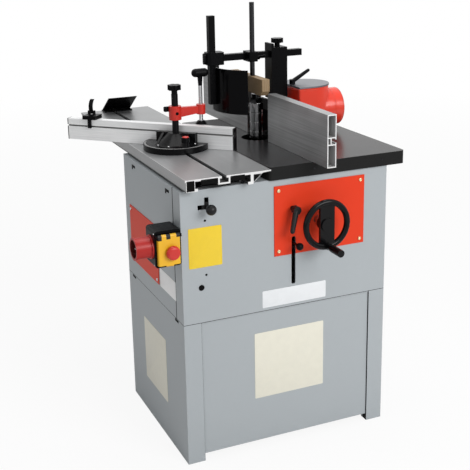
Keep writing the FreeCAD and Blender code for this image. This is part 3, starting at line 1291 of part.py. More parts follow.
def stop_finger():
    """Flip finger, shown raised, with a hooked tip."""
    u = -MITRE_FENCE_LEFT + STOP_FROM_LEFT + FINGER_FROM_LEFT - FINGER_WIDTH / 2
    eye = rod(FINGER_EYE, FINGER_WIDTH, (u, stop_pin_y, stop_pin_z), X_AXIS)
    half = FINGER_THICKNESS / 2
    low = V(u, stop_pin_y - half, stop_pin_z)
    high = V(u, stop_pin_y + FINGER_HOOK, stop_pin_z + FINGER_LENGTH)
    mid = V(u, stop_pin_y - FINGER_HOOK, stop_pin_z + FINGER_LENGTH * FINGER_BEND)
    across = V(0, FINGER_THICKNESS, 0)
    inner = Part.Arc(low, mid, high).toShape()
    outer = Part.Arc(low + across, mid + across, high + across).toShape()
    outline = Part.Wire([inner, Part.makeLine(high, high + across), outer,
                         Part.makeLine(low, low + across)])
    blade = Part.Face(outline).extrude(V(FINGER_WIDTH, 0, 0))
    hole = rod(STOP_PIN_RADIUS + RUNNING, FINGER_WIDTH, (u, stop_pin_y, stop_pin_z), X_AXIS)
    return swung(joined(eye, blade).cut(hole))


# Fences and hood
def fence(y0):
    """Hollow fence extrusion with three chambers and a bolt slot in its back face."""
    z0 = TABLE_HEIGHT + SLIDING
    z1 = z0 + FENCE_HEIGHT
    mid = z0 + FENCE_HEIGHT / 2
    wall = FENCE_WALL
    x1 = fence_x + FENCE_THICKNESS
    room = FENCE_SLOT_ROOM / 2

    def strip(xa, za, xb, zb):
        return box((xa, y0, za), (xb, y0 + FENCE_LENGTH, zb))

    cavities = [strip(fence_x + wall, z0 + wall, x1 - wall, mid - room - wall),
                strip(fence_x + wall, mid + room + wall, x1 - wall, z1 - wall),
                strip(fence_x + wall, mid - room, x1 - wall * 2 - FENCE_SLOT_DEPTH, mid + room),
                strip(x1 - wall - FENCE_SLOT_DEPTH, mid - room, x1 - wall, mid + room),
                strip(x1 - wall, mid - FENCE_SLOT_MOUTH / 2, x1, mid + FENCE_SLOT_MOUTH / 2)]
    return strip(fence_x, z0, x1, z1).cut(cavities)


def fence_carrier():
    """Plate behind both fences, open in the middle, with headed bolts in the fence slots."""
    half = FENCE_GAP / 2
    z0 = TABLE_HEIGHT + SLIDING
    mid = z0 + FENCE_HEIGHT / 2
    plate = box((carrier_x, spindle_y - half - CARRIER_REACH, z0),
                (carrier_x + CARRIER_THICKNESS, spindle_y + half + CARRIER_REACH, z0 + CARRIER_HEIGHT))
    window = box((carrier_x, spindle_y - half + HOOD_WALL, z0),
                 (carrier_x + CARRIER_THICKNESS, spindle_y + half - HOOD_WALL,
                                                                  TABLE_HEIGHT + HOOD_LOW_ROOF - HOOD_WALL))
    plate = rounded(plate, CARRIER_CORNER, X_AXIS).cut(window)
    head_x = fence_x + FENCE_THICKNESS - FENCE_WALL - SLIDING - BOLT_HEAD
    bolts = []
    for side in (-1, 1):
        for reach in (BOLT_NEAR, BOLT_FAR):
            here = (head_x, spindle_y + side * (half + reach), mid)
            bolts.append(rod(FENCE_SLOT_ROOM / 2 - LOOSE, BOLT_HEAD, here, X_AXIS))
            bolts.append(rod(FENCE_SLOT_MOUTH / 2 - LOOSE, carrier_x + CARRIER_THICKNESS - head_x, here,
                             X_AXIS))
            nut = (carrier_x + CARRIER_THICKNESS, here[1], mid)
            bolts.append(rod(BOLT_NUT_RADIUS, BOLT_HEAD, nut, X_AXIS))
    return joined(plate, *bolts)


def hood_outline(x0, x1, half, z):
    """Plan of the hood: straight sides and a half-round back."""
    turn = x1 - half
    a = V(x0, spindle_y - half, z)
    b = V(turn, spindle_y - half, z)
    c = V(x1, spindle_y, z)
    d = V(turn, spindle_y + half, z)
    e = V(x0, spindle_y + half, z)
    edges = [Part.makeLine(a, b), Part.Arc(b, c, d).toShape(), Part.makeLine(d, e), Part.makeLine(e, a)]
    return Part.Face(Part.Wire(edges))


def hood_shell():
    """Hood: low front part over the cutter, high round-backed part and a dust spigot."""
    z0 = TABLE_HEIGHT + SLIDING
    half = FENCE_GAP / 2 - LOOSE
    low_top = TABLE_HEIGHT + HOOD_LOW_ROOF
    top = TABLE_HEIGHT + HOOD_TOP
    step_x = hood_x0 + HOOD_LOW_LENGTH
    wall = HOOD_WALL
    up = V(0, 0, 1)
    spigot_start = (hood_x1 - half, spindle_y, spigot_z)
    body = joined(hood_outline(hood_x0, hood_x1, half, z0).extrude(up * (low_top - z0)),
                  hood_outline(step_x, hood_x1, half, z0).extrude(up * (top - z0)),
                  rod(SPIGOT_FLANGE_RADIUS, SPIGOT_FLANGE + half, spigot_start, X_AXIS),
                  rod(SPIGOT_RADIUS, SPIGOT_REACH + half, spigot_start, X_AXIS))
    cavity = [hood_outline(hood_x0, hood_x1 - wall, half - wall, z0).extrude(up * (low_top - wall - z0)),
              hood_outline(step_x + wall, hood_x1 - wall, half - wall, z0).extrude(up * (top - z0)),
              rod(SPIGOT_RADIUS - wall, SPIGOT_REACH + half, spigot_start, X_AXIS)]
    return body.cut(cavity).removeSplitter()


def hood_top():
    """Flat lid over the high part of the hood."""
    half = FENCE_GAP / 2 - LOOSE + LID_OVERHANG
    z = TABLE_HEIGHT + HOOD_TOP
    lid = hood_outline(hood_x0 + HOOD_LOW_LENGTH, hood_x1 + LID_OVERHANG, half,
                       z).extrude(V(0, 0, HOOD_PLATE))
    return lid.cut(rod(LEVER_STUD_RADIUS + RUNNING, HOOD_PLATE, (hood_lever_x, spindle_y, z)))


def hood_lever():
    """Ratchet lever on the hood's lid."""
    z = TABLE_HEIGHT + HOOD_TOP
    stud = rod(LEVER_STUD_RADIUS, HOOD_PLATE + SLIDING + LOOSE, (hood_lever_x, spindle_y, z))
    droop = V(math.cos(math.radians(HOOD_LEVER_TURN)), math.sin(math.radians(HOOD_LEVER_TURN)),
              HOOD_LEVER_LIFT)
    head = lever(HOOD_LEVER_LENGTH, HOOD_LEVER_RADIUS, 0,
                 (hood_lever_x, spindle_y, z + HOOD_PLATE + SLIDING), Z_AXIS, droop.normalize())
    return joined(stud, head)


# Pressure guard over the cutter
def square_bar(low, high):
    """Square bar between two points along one axis."""
    half = BAR_SIZE / 2
    return box([a - half if a == b else a for a, b in zip(low, high)],
               [b + half if a == b else b for a, b in zip(low, high)])


def bar_hole(shape_low, shape_high):
    """Cutter for a square bar with sliding room."""
    half = BAR_SIZE / 2 + SLIDING
    return box([a - half if a == b else a for a, b in zip(shape_low, shape_high)],
               [b + half if a == b else b for a, b in zip(shape_low, shape_high)])


def bar_post():
    """Tube that stands on the hood, with a clamp block on top and a backing plate."""
    z0 = TABLE_HEIGHT + HOOD_LOW_ROOF
    z1 = bar_z - POST_BLOCK / 2
    x0 = post_x
    x1 = post_x + POST_THICKNESS
    half = POST_DEPTH / 2
    wall = POST_WALL
    tube = box((x0, spindle_y - half, z0), (x1, spindle_y + half, z1))
    tube = tube.cut(box((x0 + wall, spindle_y - half + wall, z0), (x1 - wall, spindle_y + half - wall, z1)))
    block = box((x0, spindle_y - half, z1), (x1, spindle_y + half, z1 + POST_BLOCK))
    plate = box((x0 - POST_PLATE, spindle_y - half, TABLE_HEIGHT + SLIDING + CARRIER_HEIGHT + LOOSE),
                (x0, spindle_y + half, TABLE_HEIGHT + POST_PLATE_TOP))
    stud = rod(LEVER_STUD_RADIUS + RUNNING, POST_BLOCK / 2, (x0 + POST_THICKNESS / 2, spindle_y, bar_z))
    hole = bar_hole((x0 - POST_PLATE, spindle_y, bar_z), (x1, spindle_y, bar_z))
    return joined(tube, block, plate).cut([hole, stud])


def bar_knob():
    """Star knob that clamps the cross bar in the post."""
    x = post_x + POST_THICKNESS / 2
    z = bar_z + POST_BLOCK / 2 + SLIDING
    stud = rod(LEVER_STUD_RADIUS, z - bar_z - BAR_SIZE / 2 - SLIDING,
               (x, spindle_y, bar_z + BAR_SIZE / 2 + SLIDING))
    return joined(stud, star_knob(KNOB_RADIUS, KNOB_HEIGHT, (x, spindle_y, z)))


def cross_bar():
    """Square bar that reaches over the cutter."""
    return square_bar((spindle_x - BAR_LEFT_OF_SPINDLE, spindle_y, bar_z),
                      (spindle_x + BAR_RIGHT_OF_SPINDLE, spindle_y, bar_z))


def guard_clamp():
    """Cross clamp that holds the guard bar at the end of the cross bar."""
    half = CLAMP_BODY_DEPTH / 2
    z0 = bar_z - CLAMP_BODY_HEIGHT / 2
    z1 = bar_z + CLAMP_BODY_HEIGHT / 2
    body = box((guard_x - CLAMP_BODY_LEFT, spindle_y - half, z0),
               (guard_x + CLAMP_BODY_RIGHT, spindle_y + half, z1))
    body = rounded(body, CLAMP_BODY_CORNER, Z_AXIS)
    thumb = rod(LEVER_STUD_RADIUS + RUNNING, CLAMP_BODY_LEFT,
                (guard_x - CLAMP_BODY_LEFT, spindle_y, bar_z), X_AXIS)
    return body.cut([cross_bar(), bar_hole((guard_x, spindle_y, z0), (guard_x, spindle_y, z1)), thumb])


def guard_thumb():
    """Thumb screw on the guard clamp."""
    x = guard_x - CLAMP_BODY_LEFT - SLIDING
    tip = guard_x - BAR_SIZE / 2 - SLIDING * 2
    stud = rod(LEVER_STUD_RADIUS, tip - x, (x, spindle_y, bar_z), X_AXIS)
    wing = box((x - THUMB_THICKNESS, spindle_y - THUMB_WIDTH / 2, bar_z - THUMB_HEIGHT / 2),
               (x, spindle_y + THUMB_WIDTH / 2, bar_z + THUMB_HEIGHT / 2))
    return joined(stud, rounded(wing, THUMB_WIDTH / 2 * NEARLY_FULL, X_AXIS))


def guard_bar():
    """Upright square bar that carries the guard."""
    return square_bar((guard_x, spindle_y, TABLE_HEIGHT + GUARD_BAR_BOTTOM),
                      (guard_x, spindle_y, TABLE_HEIGHT + GUARD_BAR_TOP))


def guard_sheet():
    """Curved guard round the cutter, with its lower far corner rounded off, and two bolts to the bar."""
    outer = guard_radius
    z = TABLE_HEIGHT + GUARD_BOTTOM
    here = (spindle_x, spindle_y, z)
    tube = rod(outer, GUARD_HEIGHT, here).cut(rod(outer - GUARD_SHEET, GUARD_HEIGHT, here))
    reach = outer * 2
    half = math.radians(GUARD_HALF_ANGLE)
    wedge = prism([here, (spindle_x - reach * math.cos(half), spindle_y - reach * math.sin(half), z),
                   (spindle_x - reach, spindle_y, z),
                   (spindle_x - reach * math.cos(half), spindle_y + reach * math.sin(half), z)],
                  (0, 0, GUARD_HEIGHT))
    sheet = tube.common(wedge)
    edge_y = sheet.BoundBox.YMax
    corner = box((spindle_x - reach, edge_y - GUARD_CORNER, z), (spindle_x, edge_y, z + GUARD_CORNER))
    keep = rod(GUARD_CORNER, reach, (spindle_x - reach, edge_y - GUARD_CORNER, z + GUARD_CORNER), X_AXIS)
    sheet = sheet.cut(corner.cut(keep))
    bolts = []
    for rise in GUARD_BOLT_RISES:
        bolts.append(rod(GUARD_BOLT_RADIUS, GUARD_SHEET * 2,
                         (guard_x + BAR_SIZE / 2, spindle_y, z + rise), X_AXIS))
    return joined(sheet, *bolts)


def shoe_clamp():
    """Clamp on the cross bar that holds the shoe's rod in front of the bar."""
    half = SHOE_CLAMP_WIDTH / 2
    y0 = rod_y - SHOE_ROD_RADIUS - SHOE_CLAMP_WALL
    y1 = spindle_y + BAR_SIZE / 2 + SHOE_CLAMP_WALL
    body = box((rod_x - half, y0, bar_z - half), (rod_x + half, y1, bar_z + half))
    body = rounded(body, SHOE_CLAMP_WALL * NEARLY_FULL, Z_AXIS)
    bore = rod(SHOE_ROD_RADIUS + RUNNING, SHOE_CLAMP_WIDTH, (rod_x, rod_y, bar_z - half))
    stud = rod(LEVER_STUD_RADIUS + RUNNING, half, (rod_x + half, rod_y, shoe_lever_z), V(-1, 0, 0))
    return body.cut([cross_bar(), bore, stud])


def shoe_lever():
    """Small lever that clamps the shoe's rod."""
    x = rod_x + SHOE_CLAMP_WIDTH / 2 + SLIDING
    tip = rod_x + SHOE_ROD_RADIUS + SLIDING * 2
    stud = rod(LEVER_STUD_RADIUS, x - tip, (tip, rod_y, shoe_lever_z), X_AXIS)
    droop = V(SHOE_LEVER_OUT, -1, SHOE_LEVER_LIFT)
    return joined(stud,
                  lever(SHOE_LEVER_LENGTH, SHOE_LEVER_RADIUS, 0, (x, rod_y, shoe_lever_z), X_AXIS,
                        droop.normalize()))


def shoe_rod():
    """Round rod that carries the pressure shoe."""
    z0 = TABLE_HEIGHT + WOOD_RISE + WOOD_HEIGHT
    return rod(SHOE_ROD_RADIUS, TABLE_HEIGHT + SHOE_ROD_TOP - z0, (rod_x, rod_y, z0))


def pressure_shoe():
    """Wooden shoe with bevelled ends under the rod."""
    half = WOOD_LENGTH / 2
    z0 = TABLE_HEIGHT + WOOD_RISE
    x0 = rod_x - WOOD_THICKNESS / 2
    profile = [(x0, spindle_y - half + WOOD_BEVEL, z0), (x0, spindle_y + half - WOOD_BEVEL, z0),
               (x0, spindle_y + half, z0 + WOOD_BEVEL), (x0, spindle_y + half, z0 + WOOD_HEIGHT),
               (x0, spindle_y - half, z0 + WOOD_HEIGHT), (x0, spindle_y - half, z0 + WOOD_BEVEL)]
    return prism(profile, (WOOD_THICKNESS, 0, 0))


# Write the nodes
save("stand_shell", stand_shell())
save("stand_front_panel", stand_front_panel())
save("upper_cabinet", upper_cabinet())
save("control_plate", control_plate())
save("side_plate", side_plate())
save("main_table", main_table())
save("table_ring", table_ring())
save("guide_rail", guide_rail())
save("switch_box", switch_box())
save("power_inlet", power_inlet().multiFuse(inlet_pins()))
save("guide_columns", *guide_columns())
save("column_beams", *column_beams())
save("drive_bracket", drive_bracket())
save("carriage", carriage())
save("spindle_bearings", *spindle_bearings())
save("motor", motor())
save("drive_belt", drive_belt())
save("lift_nut", lift_nut())
save("spindle_shaft", spindle_shaft())
save("spindle_collars",
     *stacked(COLLAR_RADIUS, COLLAR_HEIGHTS, ARBOR_RADIUS, (spindle_x, spindle_y, collar_z)))
save("spindle_nut", spindle_nut())
save("spindle_pulley", pulley(SPINDLE_PULLEY_RADIUS, JOURNAL_RADIUS, spindle_x, spindle_y))
save("motor_pulley", motor_pulley())
save("handwheel", handwheel())
save("pinion_shaft", pinion_shaft())
save("crank_grip", crank_grip())
save("lift_screw", lift_screw())
save("height_lock_lever", height_lock_lever())
save("belt_lever", belt_lever())
save("spindle_lock", spindle_lock())
save("switch_cover", switch_cover())
save("stop_button", stop_button())
save("sliding_table", sliding_table())
save("edging_shoe", edging_shoe())
save("mitre_lock", mitre_lock())
save("mitre_head", mitre_head())
save("mitre_fence", mitre_fence())
save("clamp_column",
     clamp_column().fuse(star_knob(COLUMN_KNOB_RADIUS, COLUMN_KNOB_HEIGHT,
                                   (slot_x, pivot_y, TABLE_HEIGHT + COLUMN_RISE))))
save("clamp_arm", clamp_arm())
save("clamp_screw", clamp_screw())
save("clamp_pad", clamp_pad())
save("stop_carrier", stop_carrier())
save("stop_finger", stop_finger())
save("hood_shell", hood_shell())
save("hood_top", hood_top())
save("fence_carrier", fence_carrier())
save("bar_post", bar_post())
save("hood_lever", hood_lever())
save("infeed_fence", fence(spindle_y - FENCE_GAP / 2 - FENCE_LENGTH))
save("outfeed_fence", fence(spindle_y + FENCE_GAP / 2))
save("bar_knob", bar_knob())
save("cross_bar", cross_bar())
save("guard_clamp", guard_clamp())
save("guard_thumb", guard_thumb())
save("guard_bar", guard_bar())
save("guard_sheet", guard_sheet())
save("shoe_clamp", shoe_clamp())
save("shoe_lever", shoe_lever())
save("shoe_rod", shoe_rod())
save("pressure_shoe", pressure_shoe())
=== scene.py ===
"""Looks of the spindle moulder: camera, light, finishes, bare plates and small fittings."""
import math

import bmesh
import bpy
from mathutils import Matrix, Vector


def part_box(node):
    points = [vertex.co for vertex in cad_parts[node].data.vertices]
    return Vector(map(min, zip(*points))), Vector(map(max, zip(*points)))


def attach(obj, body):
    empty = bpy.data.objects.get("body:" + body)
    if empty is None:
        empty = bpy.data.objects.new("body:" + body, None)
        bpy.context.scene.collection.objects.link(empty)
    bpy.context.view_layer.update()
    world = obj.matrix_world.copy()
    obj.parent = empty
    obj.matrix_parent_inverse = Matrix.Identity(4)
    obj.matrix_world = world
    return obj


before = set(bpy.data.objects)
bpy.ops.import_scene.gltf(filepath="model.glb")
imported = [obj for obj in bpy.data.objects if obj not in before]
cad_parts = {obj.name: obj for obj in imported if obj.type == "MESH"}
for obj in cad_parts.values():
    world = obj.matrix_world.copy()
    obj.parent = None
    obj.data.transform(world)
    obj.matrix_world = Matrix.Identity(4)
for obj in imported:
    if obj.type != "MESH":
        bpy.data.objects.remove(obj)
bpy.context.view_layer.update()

X, Y, Z = Vector((1, 0, 0)), Vector((0, 1, 0)), Vector((0, 0, 1))
ORIGIN = (0, 0, 0)
EVEN = (1, 1, 1)
HALF = 0.5              # where a mask of noughts and ones is cut

# Lines of the machine, in metres
LEFT, FRONT = -0.3275, -0.2525          # outer faces of the cabinet
PANEL_Y = -0.2485                       # face of the lower front panel
SEAM_Z = 0.440                          # cabinet on stand
SEAM_HALF = 0.0008
POST_EDGE = 0.2745                      # inner edges of the front posts
POST_GAP = (POST_EDGE - 0.0011, POST_EDGE + 0.0004)
POST_DEPTH = FRONT + 0.02               # the gaps beside the posts end here
SIDE_SEAM = (FRONT + 0.0553, FRONT + 0.0607)
SIDE_SEAM_DEPTH = LEFT + 0.0020
TABLE_TOP = 0.870
TABLE_EDGE = TABLE_TOP - 0.0004         # above this lies the ground face
SPINDLE_Y = 0.1105
HOOD_INSIDE_END, HOOD_INSIDE_HALF, HOOD_INSIDE_TOP = 0.243, 0.0735, 0.9575
FENCE_HOLLOW_X, FENCE_HOLLOW_Z = (0.0762, 0.1030), (0.8710, 1.0196)
FENCE_ENDS = (-0.34495, 0.56595)
SLIDER_ENDS = (-0.28245, 0.78245)
SLIDER_SIDE = -0.3183                   # just inside its outer left face
SLIDER_HOLLOW_LEFT, SLIDER_HOLLOW_TOP = -0.3178, 0.8635
# Top of the painted shade along the foot of the sliding table's left side
SLIDER_SHADE_LINE_TOP = 0.8392
# Painted light: how much paler the sliding table's left side is made
SLIDER_SIDE_LIGHT = 0.22                     # how much paler its left side is
RAIL_END = -0.2404
PIVOT = Vector((-0.2075, 0.0905, 0.0))  # upright that the mitre head swings on
MITRE_TURN = math.radians(-45)
MITRE_ENDS = (-0.387, 0.183)
MITRE_CAP = 0.003
MITRE_HOLLOW_Y, MITRE_HOLLOW_Z = (0.0158, 0.0392), (0.8712, 0.9365)
BAND_INNER, BAND_OUTER = 0.0925, 0.0985
CLAMP_SCREW_TOP = 1.0542                # bright below, black handle above
COLUMN_TOP = 1.0355                     # steel below, black knob above
LEVER_KNOB_Y = -0.2795                  # black ball in front, steel rod behind
# Where the switch cover's gaps are painted in shade: left, right and foot of each
COVER_GAP_SHADES = ((-0.3980, -0.3865, 0.7057), (-0.3445, -0.3330, 0.7107), (-0.3735, -0.3615, 0.7077))
INLET_FACE, INLET_Y, INLET_Z = -0.4215, -0.2165, 0.6775
INLET_BORE, INLET_PINS, PIN_FOOT = 0.0263, (0.0132, 0.0188), 0.0002


def grey(value):
    return value, value, value


BLACK = (0.0025, 0.0025, 0.003)
DEEP_BLACK = (0.002, 0.002, 0.0025)
SHADOW = (0.008, 0.008, 0.009)
YELLOW = (0.83, 0.45, 0.018)


# Finishes
class Wire:
    """A socket whose sums add Math nodes."""

    def __init__(self, finish, socket):
        self.finish = finish
        self.socket = socket

    def __add__(self, other):
        return self.finish.maths("ADD", self, other)

    def __radd__(self, other):
        return self.finish.maths("ADD", other, self)

    def __sub__(self, other):
        return self.finish.maths("SUBTRACT", self, other)

    def __rsub__(self, other):
        return self.finish.maths("SUBTRACT", other, self)

    def __mul__(self, other):
        return self.finish.maths("MULTIPLY", self, other)

    def __rmul__(self, other):
        return self.finish.maths("MULTIPLY", other, self)

    def __pow__(self, other):
        return self.finish.maths("POWER", self, other)

    def __gt__(self, other):
        return self.finish.maths("GREATER_THAN", self, other)

    def __lt__(self, other):
        return self.finish.maths("LESS_THAN", self, other)


class Finish:
    """A new material with one way to add any node."""

    def __init__(self, name, **fixed):
        self.material = bpy.data.materials.new(name)
        self.material.use_nodes = True
        self.tree = self.material.node_tree
        self.shader = self.tree.nodes["Principled BSDF"]
        self.place = self.node("ShaderNodeTexCoord", {}, {}, "Object")
        for word, value in fixed.items():
            self.set(word, value)

    def set(self, word, value):
        """Set or link a socket of the shader."""
        socket = self.shader.inputs[word.replace("_", " ")]
        if isinstance(value, Wire):
            self.tree.links.new(value.socket, socket)
        elif socket.type == "RGBA":
            socket.default_value = (*value, 1.0)
        else:
            socket.default_value = value

    def node(self, kind, settings, sockets, out=0):
        made = self.tree.nodes.new(kind)
        for word, value in settings.items():
            setattr(made, word, value)
        for word, value in sockets.items():
            if isinstance(value, Wire):
                self.tree.links.new(value.socket, made.inputs[word])
            else:
                made.inputs[word].default_value = value
        return Wire(self, made.outputs[out])

    def maths(self, operation, first, second):
        return self.node("ShaderNodeMath", {"operation": operation}, {0: first, 1: second})

    def axes(self, turn=0.0, centre=ORIGIN):
        """Object coordinates counted from a centre and turned about the upright."""
        spot = self.turned(turn, centre, EVEN)
        return [self.node("ShaderNodeSeparateXYZ", {}, {0: spot}, axis) for axis in "XYZ"]

    def turned(self, turn, centre, scale):
        away = Matrix.Rotation(turn, 3, "Z") @ -Vector(centre)
        spot = self.node("ShaderNodeMapping", {},
                         {"Vector": self.place, "Rotation": (0, 0, turn), "Location": away})
        return self.node("ShaderNodeVectorMath", {"operation": "MULTIPLY"}, {0: spot, 1: scale})

    def noise(self, scale, stretch=EVEN, detail=2.0, turn=0.0, centre=ORIGIN):
        spot = self.turned(turn, centre, stretch)
        return self.node("ShaderNodeTexNoise", {}, {"Vector": spot, "Scale": scale, "Detail": detail})

    def mix(self, mask, first, second):
        """Colours mixed by a mask."""
        pair = {0: mask}
        for index, value in ((6, first), (7, second)):
            pair[index] = value if isinstance(value, Wire) else (*value, 1.0)
        return self.node("ShaderNodeMix", {"data_type": "RGBA", "clamp_factor": True}, pair, 2)

    def shades(self, mask, colour, darkest, palest):
        """One colour that a mask takes from a darker to a paler tone."""
        return self.mix(mask, tone(colour, darkest), tone(colour, palest))

    def soft(self, mask, low, high):
        """A mask spread from nought to one between two values."""
        return self.node("ShaderNodeMapRange", {"clamp": True}, {0: mask, 1: low, 2: high, 3: 0.0, 4: 1.0})

    def relief(self, height, depth, edge=0.0008):
        """A bump over edges that are rounded for the light."""
        rounded = self.node("ShaderNodeBevel", {"samples": 4}, {"Radius": edge})
        self.set("Normal", self.node("ShaderNodeBump", {}, {"Height": height, "Distance": depth,
                                                            "Strength": 1.0, "Normal": rounded}))


def tone(colour, factor):
    return tuple(min(1.0, part * factor) for part in colour)


def within(value, limits):
    low, high = limits
    return (value > low) * (value < high)


def beyond(value, limits):
    low, high = limits
    return (value < low) + (value > high)


def sprayed_paint(name, colour, roughness, coat=0.0, edge=0.0012, shine=0.5, dark=None):
    """Sprayed enamel on sheet: faint clouds, orange peel and a little dust in the gloss.
    dark gives a mask where shade is painted in, in the colour SHADOW."""
    cloud_share, speck_share = 0.7, 0.3
    smoothest, cloud_gloss, speck_gloss, dark_gloss = roughness - 0.06, 0.08, 0.05, 0.3
    finish = Finish(name, Coat_Roughness=0.12, Specular_IOR_Level=shine)
    cloud = finish.noise(scale=2.3, detail=3.0)
    speck = finish.noise(scale=60.0, detail=4.0)
    skin = finish.shades(cloud * cloud_share + speck * speck_share, colour, darkest=0.955, palest=1.045)
    gloss = smoothest + cloud * cloud_gloss + speck * speck_gloss
    if dark:
        mask = dark(*finish.axes())
        skin = finish.mix(mask, skin, SHADOW)
        gloss = gloss + mask * dark_gloss
        coat = coat * (1 - mask)
    finish.set("Base Color", skin)
    finish.set("Roughness", gloss)
    finish.set("Coat Weight", coat)
    finish.relief(finish.noise(scale=520.0, detail=1.0), depth=0.00006, edge=edge)
    return finish.material


def moulded_plastic(name, colour, roughness, grain=0.00005, coat=0.0, shine=0.5):
    """Moulded plastic: fine spark grain, handling shine in patches."""
    rub_gloss = 0.16
    finish = Finish(name, Coat_Weight=coat, Coat_Roughness=0.08, Specular_IOR_Level=shine)
    rub = finish.noise(scale=28.0, detail=3.0)
    finish.set("Base Color", finish.shades(rub, colour, darkest=0.9, palest=1.12))
    finish.set("Roughness", roughness - rub_gloss / 2 + rub * rub_gloss)
    finish.relief(finish.noise(scale=1400.0), depth=grain, edge=0.0010)
    return finish.material


def cast_metal(name, colour, roughness, lumps, metallic=0.0, shine=0.5):
    """Sand casting under thin paint: rounded lumps and uneven gloss."""
    patch_gloss = 0.2
    finish = Finish(name, Metallic=metallic, Specular_IOR_Level=shine)
    lump = finish.noise(scale=120.0, detail=4.0)
    patch = finish.noise(scale=14.0, detail=3.0)
    finish.set("Base Color", finish.shades(patch, colour, darkest=0.8, palest=1.25))
    finish.set("Roughness", roughness - patch_gloss / 2 + patch * patch_gloss)
    finish.relief(lump, depth=lumps, edge=0.0015)
    return finish.material


def turned_steel(name, colour, roughness, along=(6, 6, 900)):
    """Machined steel: fine tool lines and a faint stain."""
    line_share, stain_share = 0.6, 0.4
    line_gloss, stain_gloss = 0.12, 0.06
    finish = Finish(name, Metallic=1.0)
    lines = finish.noise(scale=1.0, stretch=along, detail=3.0)
    stain = finish.noise(scale=22.0, detail=4.0)
    wear = lines * line_share + stain * stain_share
    finish.set("Base Color", finish.shades(wear, colour, darkest=0.8, palest=1.15))
    finish.set("Roughness", roughness - line_gloss / 2 + lines * line_gloss + stain * stain_gloss)
    finish.relief(lines, depth=0.00003)
    return finish.material


def table_plate():
    """Ground and painted main table: dark sheen on top with faint grinding lines, nearly black sides."""
    share = 0.5
    side_gloss, top_polish, cloud_gloss, top_metal, side_lumps = 0.46, 0.24, 0.08, 0.25, 4
    finish = Finish("table_plate", Specular_IOR_Level=0.2)
    height = finish.axes()[2]
    lines = finish.noise(scale=1.0, stretch=(700, 5, 700), detail=3.0)
    cloud = finish.noise(scale=5.0, detail=4.0)
    top = height > TABLE_EDGE
    ground = finish.mix(lines * share + cloud * share, (0.022, 0.022, 0.023), (0.040, 0.039, 0.040))
    finish.set("Base Color", finish.mix(top, grey(0.004), ground))
    finish.set("Roughness", side_gloss - top * top_polish + cloud * cloud_gloss)
    finish.set("Metallic", top * top_metal)
    lumps = finish.noise(scale=160.0, detail=3.0) * (1 - top) * side_lumps
    finish.relief(lines * top + lumps, depth=0.00005, edge=0.0016)
    return finish.material


def drawn_alloy(name, colour, sides, end_mask, hollow=None, turn=0.0, centre=ORIGIN, metallic=0.75, roughness=0.36,
                streak=0.82, end_tone=grey(0.80), hollow_shading=(0.03, 0.03, 0.032)):
    """Drawn alloy bar: die lines along its length, its ends in a tone of their own (by default a painted
    highlight), painted light and shade in its hollows.
    The two mask arguments take the three coordinates of the bar and give masks."""
    line_share, cloud_share, faint, strong = 0.7, 0.3, 0.3, 0.7
    smoothest, line_gloss = roughness - 0.05, 0.12
    finish = Finish(name)
    spot = finish.axes(turn, centre)
    lines = finish.noise(scale=1.0, stretch=sides, detail=3.0, turn=turn, centre=centre)
    cloud = finish.noise(scale=9.0, detail=3.0)
    wear = finish.soft(lines * line_share + cloud * cloud_share, faint, strong)
    skin = finish.shades(wear, colour, darkest=streak, palest=1.15)
    # The hollows take a painted tone in place of their light and shade.
    inside = hollow(*spot) if hollow else 0.0
    shown = finish.mix(inside, skin, hollow_shading)
    # The ends take end_tone: by default a painted highlight.
    finish.set("Base Color", finish.mix(end_mask(*spot), shown, end_tone))
    finish.set("Metallic", metallic * (1 - inside))
    finish.set("Roughness", smoothest + lines * line_gloss)
    finish.relief(lines, depth=0.00003, edge=0.0006)
    return finish.material


def planed_beech():
    """Planed beech: long rings, short dark flecks and open pores along the grain."""
    ring_share, drift_share, fleck_share = 0.6, 0.4, 0.55
    smoothest, drift_gloss = 0.5, 0.14
    ring_height, fleck_depth = 0.4, 0.8
    finish = Finish("planed_beech")
    drift = finish.noise(scale=3.0, stretch=(6, 0.8, 6), detail=3.0)
    rings = finish.node("ShaderNodeTexWave", {"wave_type": "BANDS", "bands_direction": "X"},
                        {"Vector": finish.turned(0.0, ORIGIN, (1, 0.06, 0.55)), "Scale": 42.0,
                         "Distortion": 6.0, "Detail": 2.0, "Detail Scale": 1.4}, 1)
    fleck = finish.soft(finish.noise(scale=1.0, stretch=(900, 60, 900)), 0.6, 0.72)
    wood = finish.mix(rings * ring_share + drift * drift_share, (0.24, 0.155, 0.075), (0.34, 0.235, 0.13))
    finish.set("Base Color", finish.mix(fleck * fleck_share, wood, (0.15, 0.085, 0.035)))
    finish.set("Roughness", smoothest + drift * drift_gloss)
    finish.relief(rings * ring_height - fleck * fleck_depth, depth=0.00012, edge=0.0012)
    return finish.material


def two_part(name, split, first, second, metallic=(0.0, 1.0), roughness=(0.36, 0.24), shine=0.08):
    """One node made of two materials: the second shows where the mask is one."""
    worn, rub_gloss = 0.35, 0.08
    finish = Finish(name, Specular_IOR_Level=shine)
    mask = split(*finish.axes())
    rub = finish.noise(scale=40.0, detail=3.0)
    lines = finish.noise(scale=1.0, stretch=(8, 8, 900))
    base = finish.mix(mask, first, second)
    rubbed = finish.mix(mask, tone(first, 1.3), tone(second, 0.82))
    finish.set("Base Color", finish.mix(rub * worn, base, rubbed))
    finish.set("Metallic", metallic[0] + mask * (metallic[1] - metallic[0]))
    finish.set("Roughness", roughness[0] + mask * (roughness[1] - roughness[0]) + rub * rub_gloss)
    finish.relief(lines * mask + finish.noise(scale=1200.0) * (1 - mask), depth=0.00004, edge=0.001)
    return finish.material


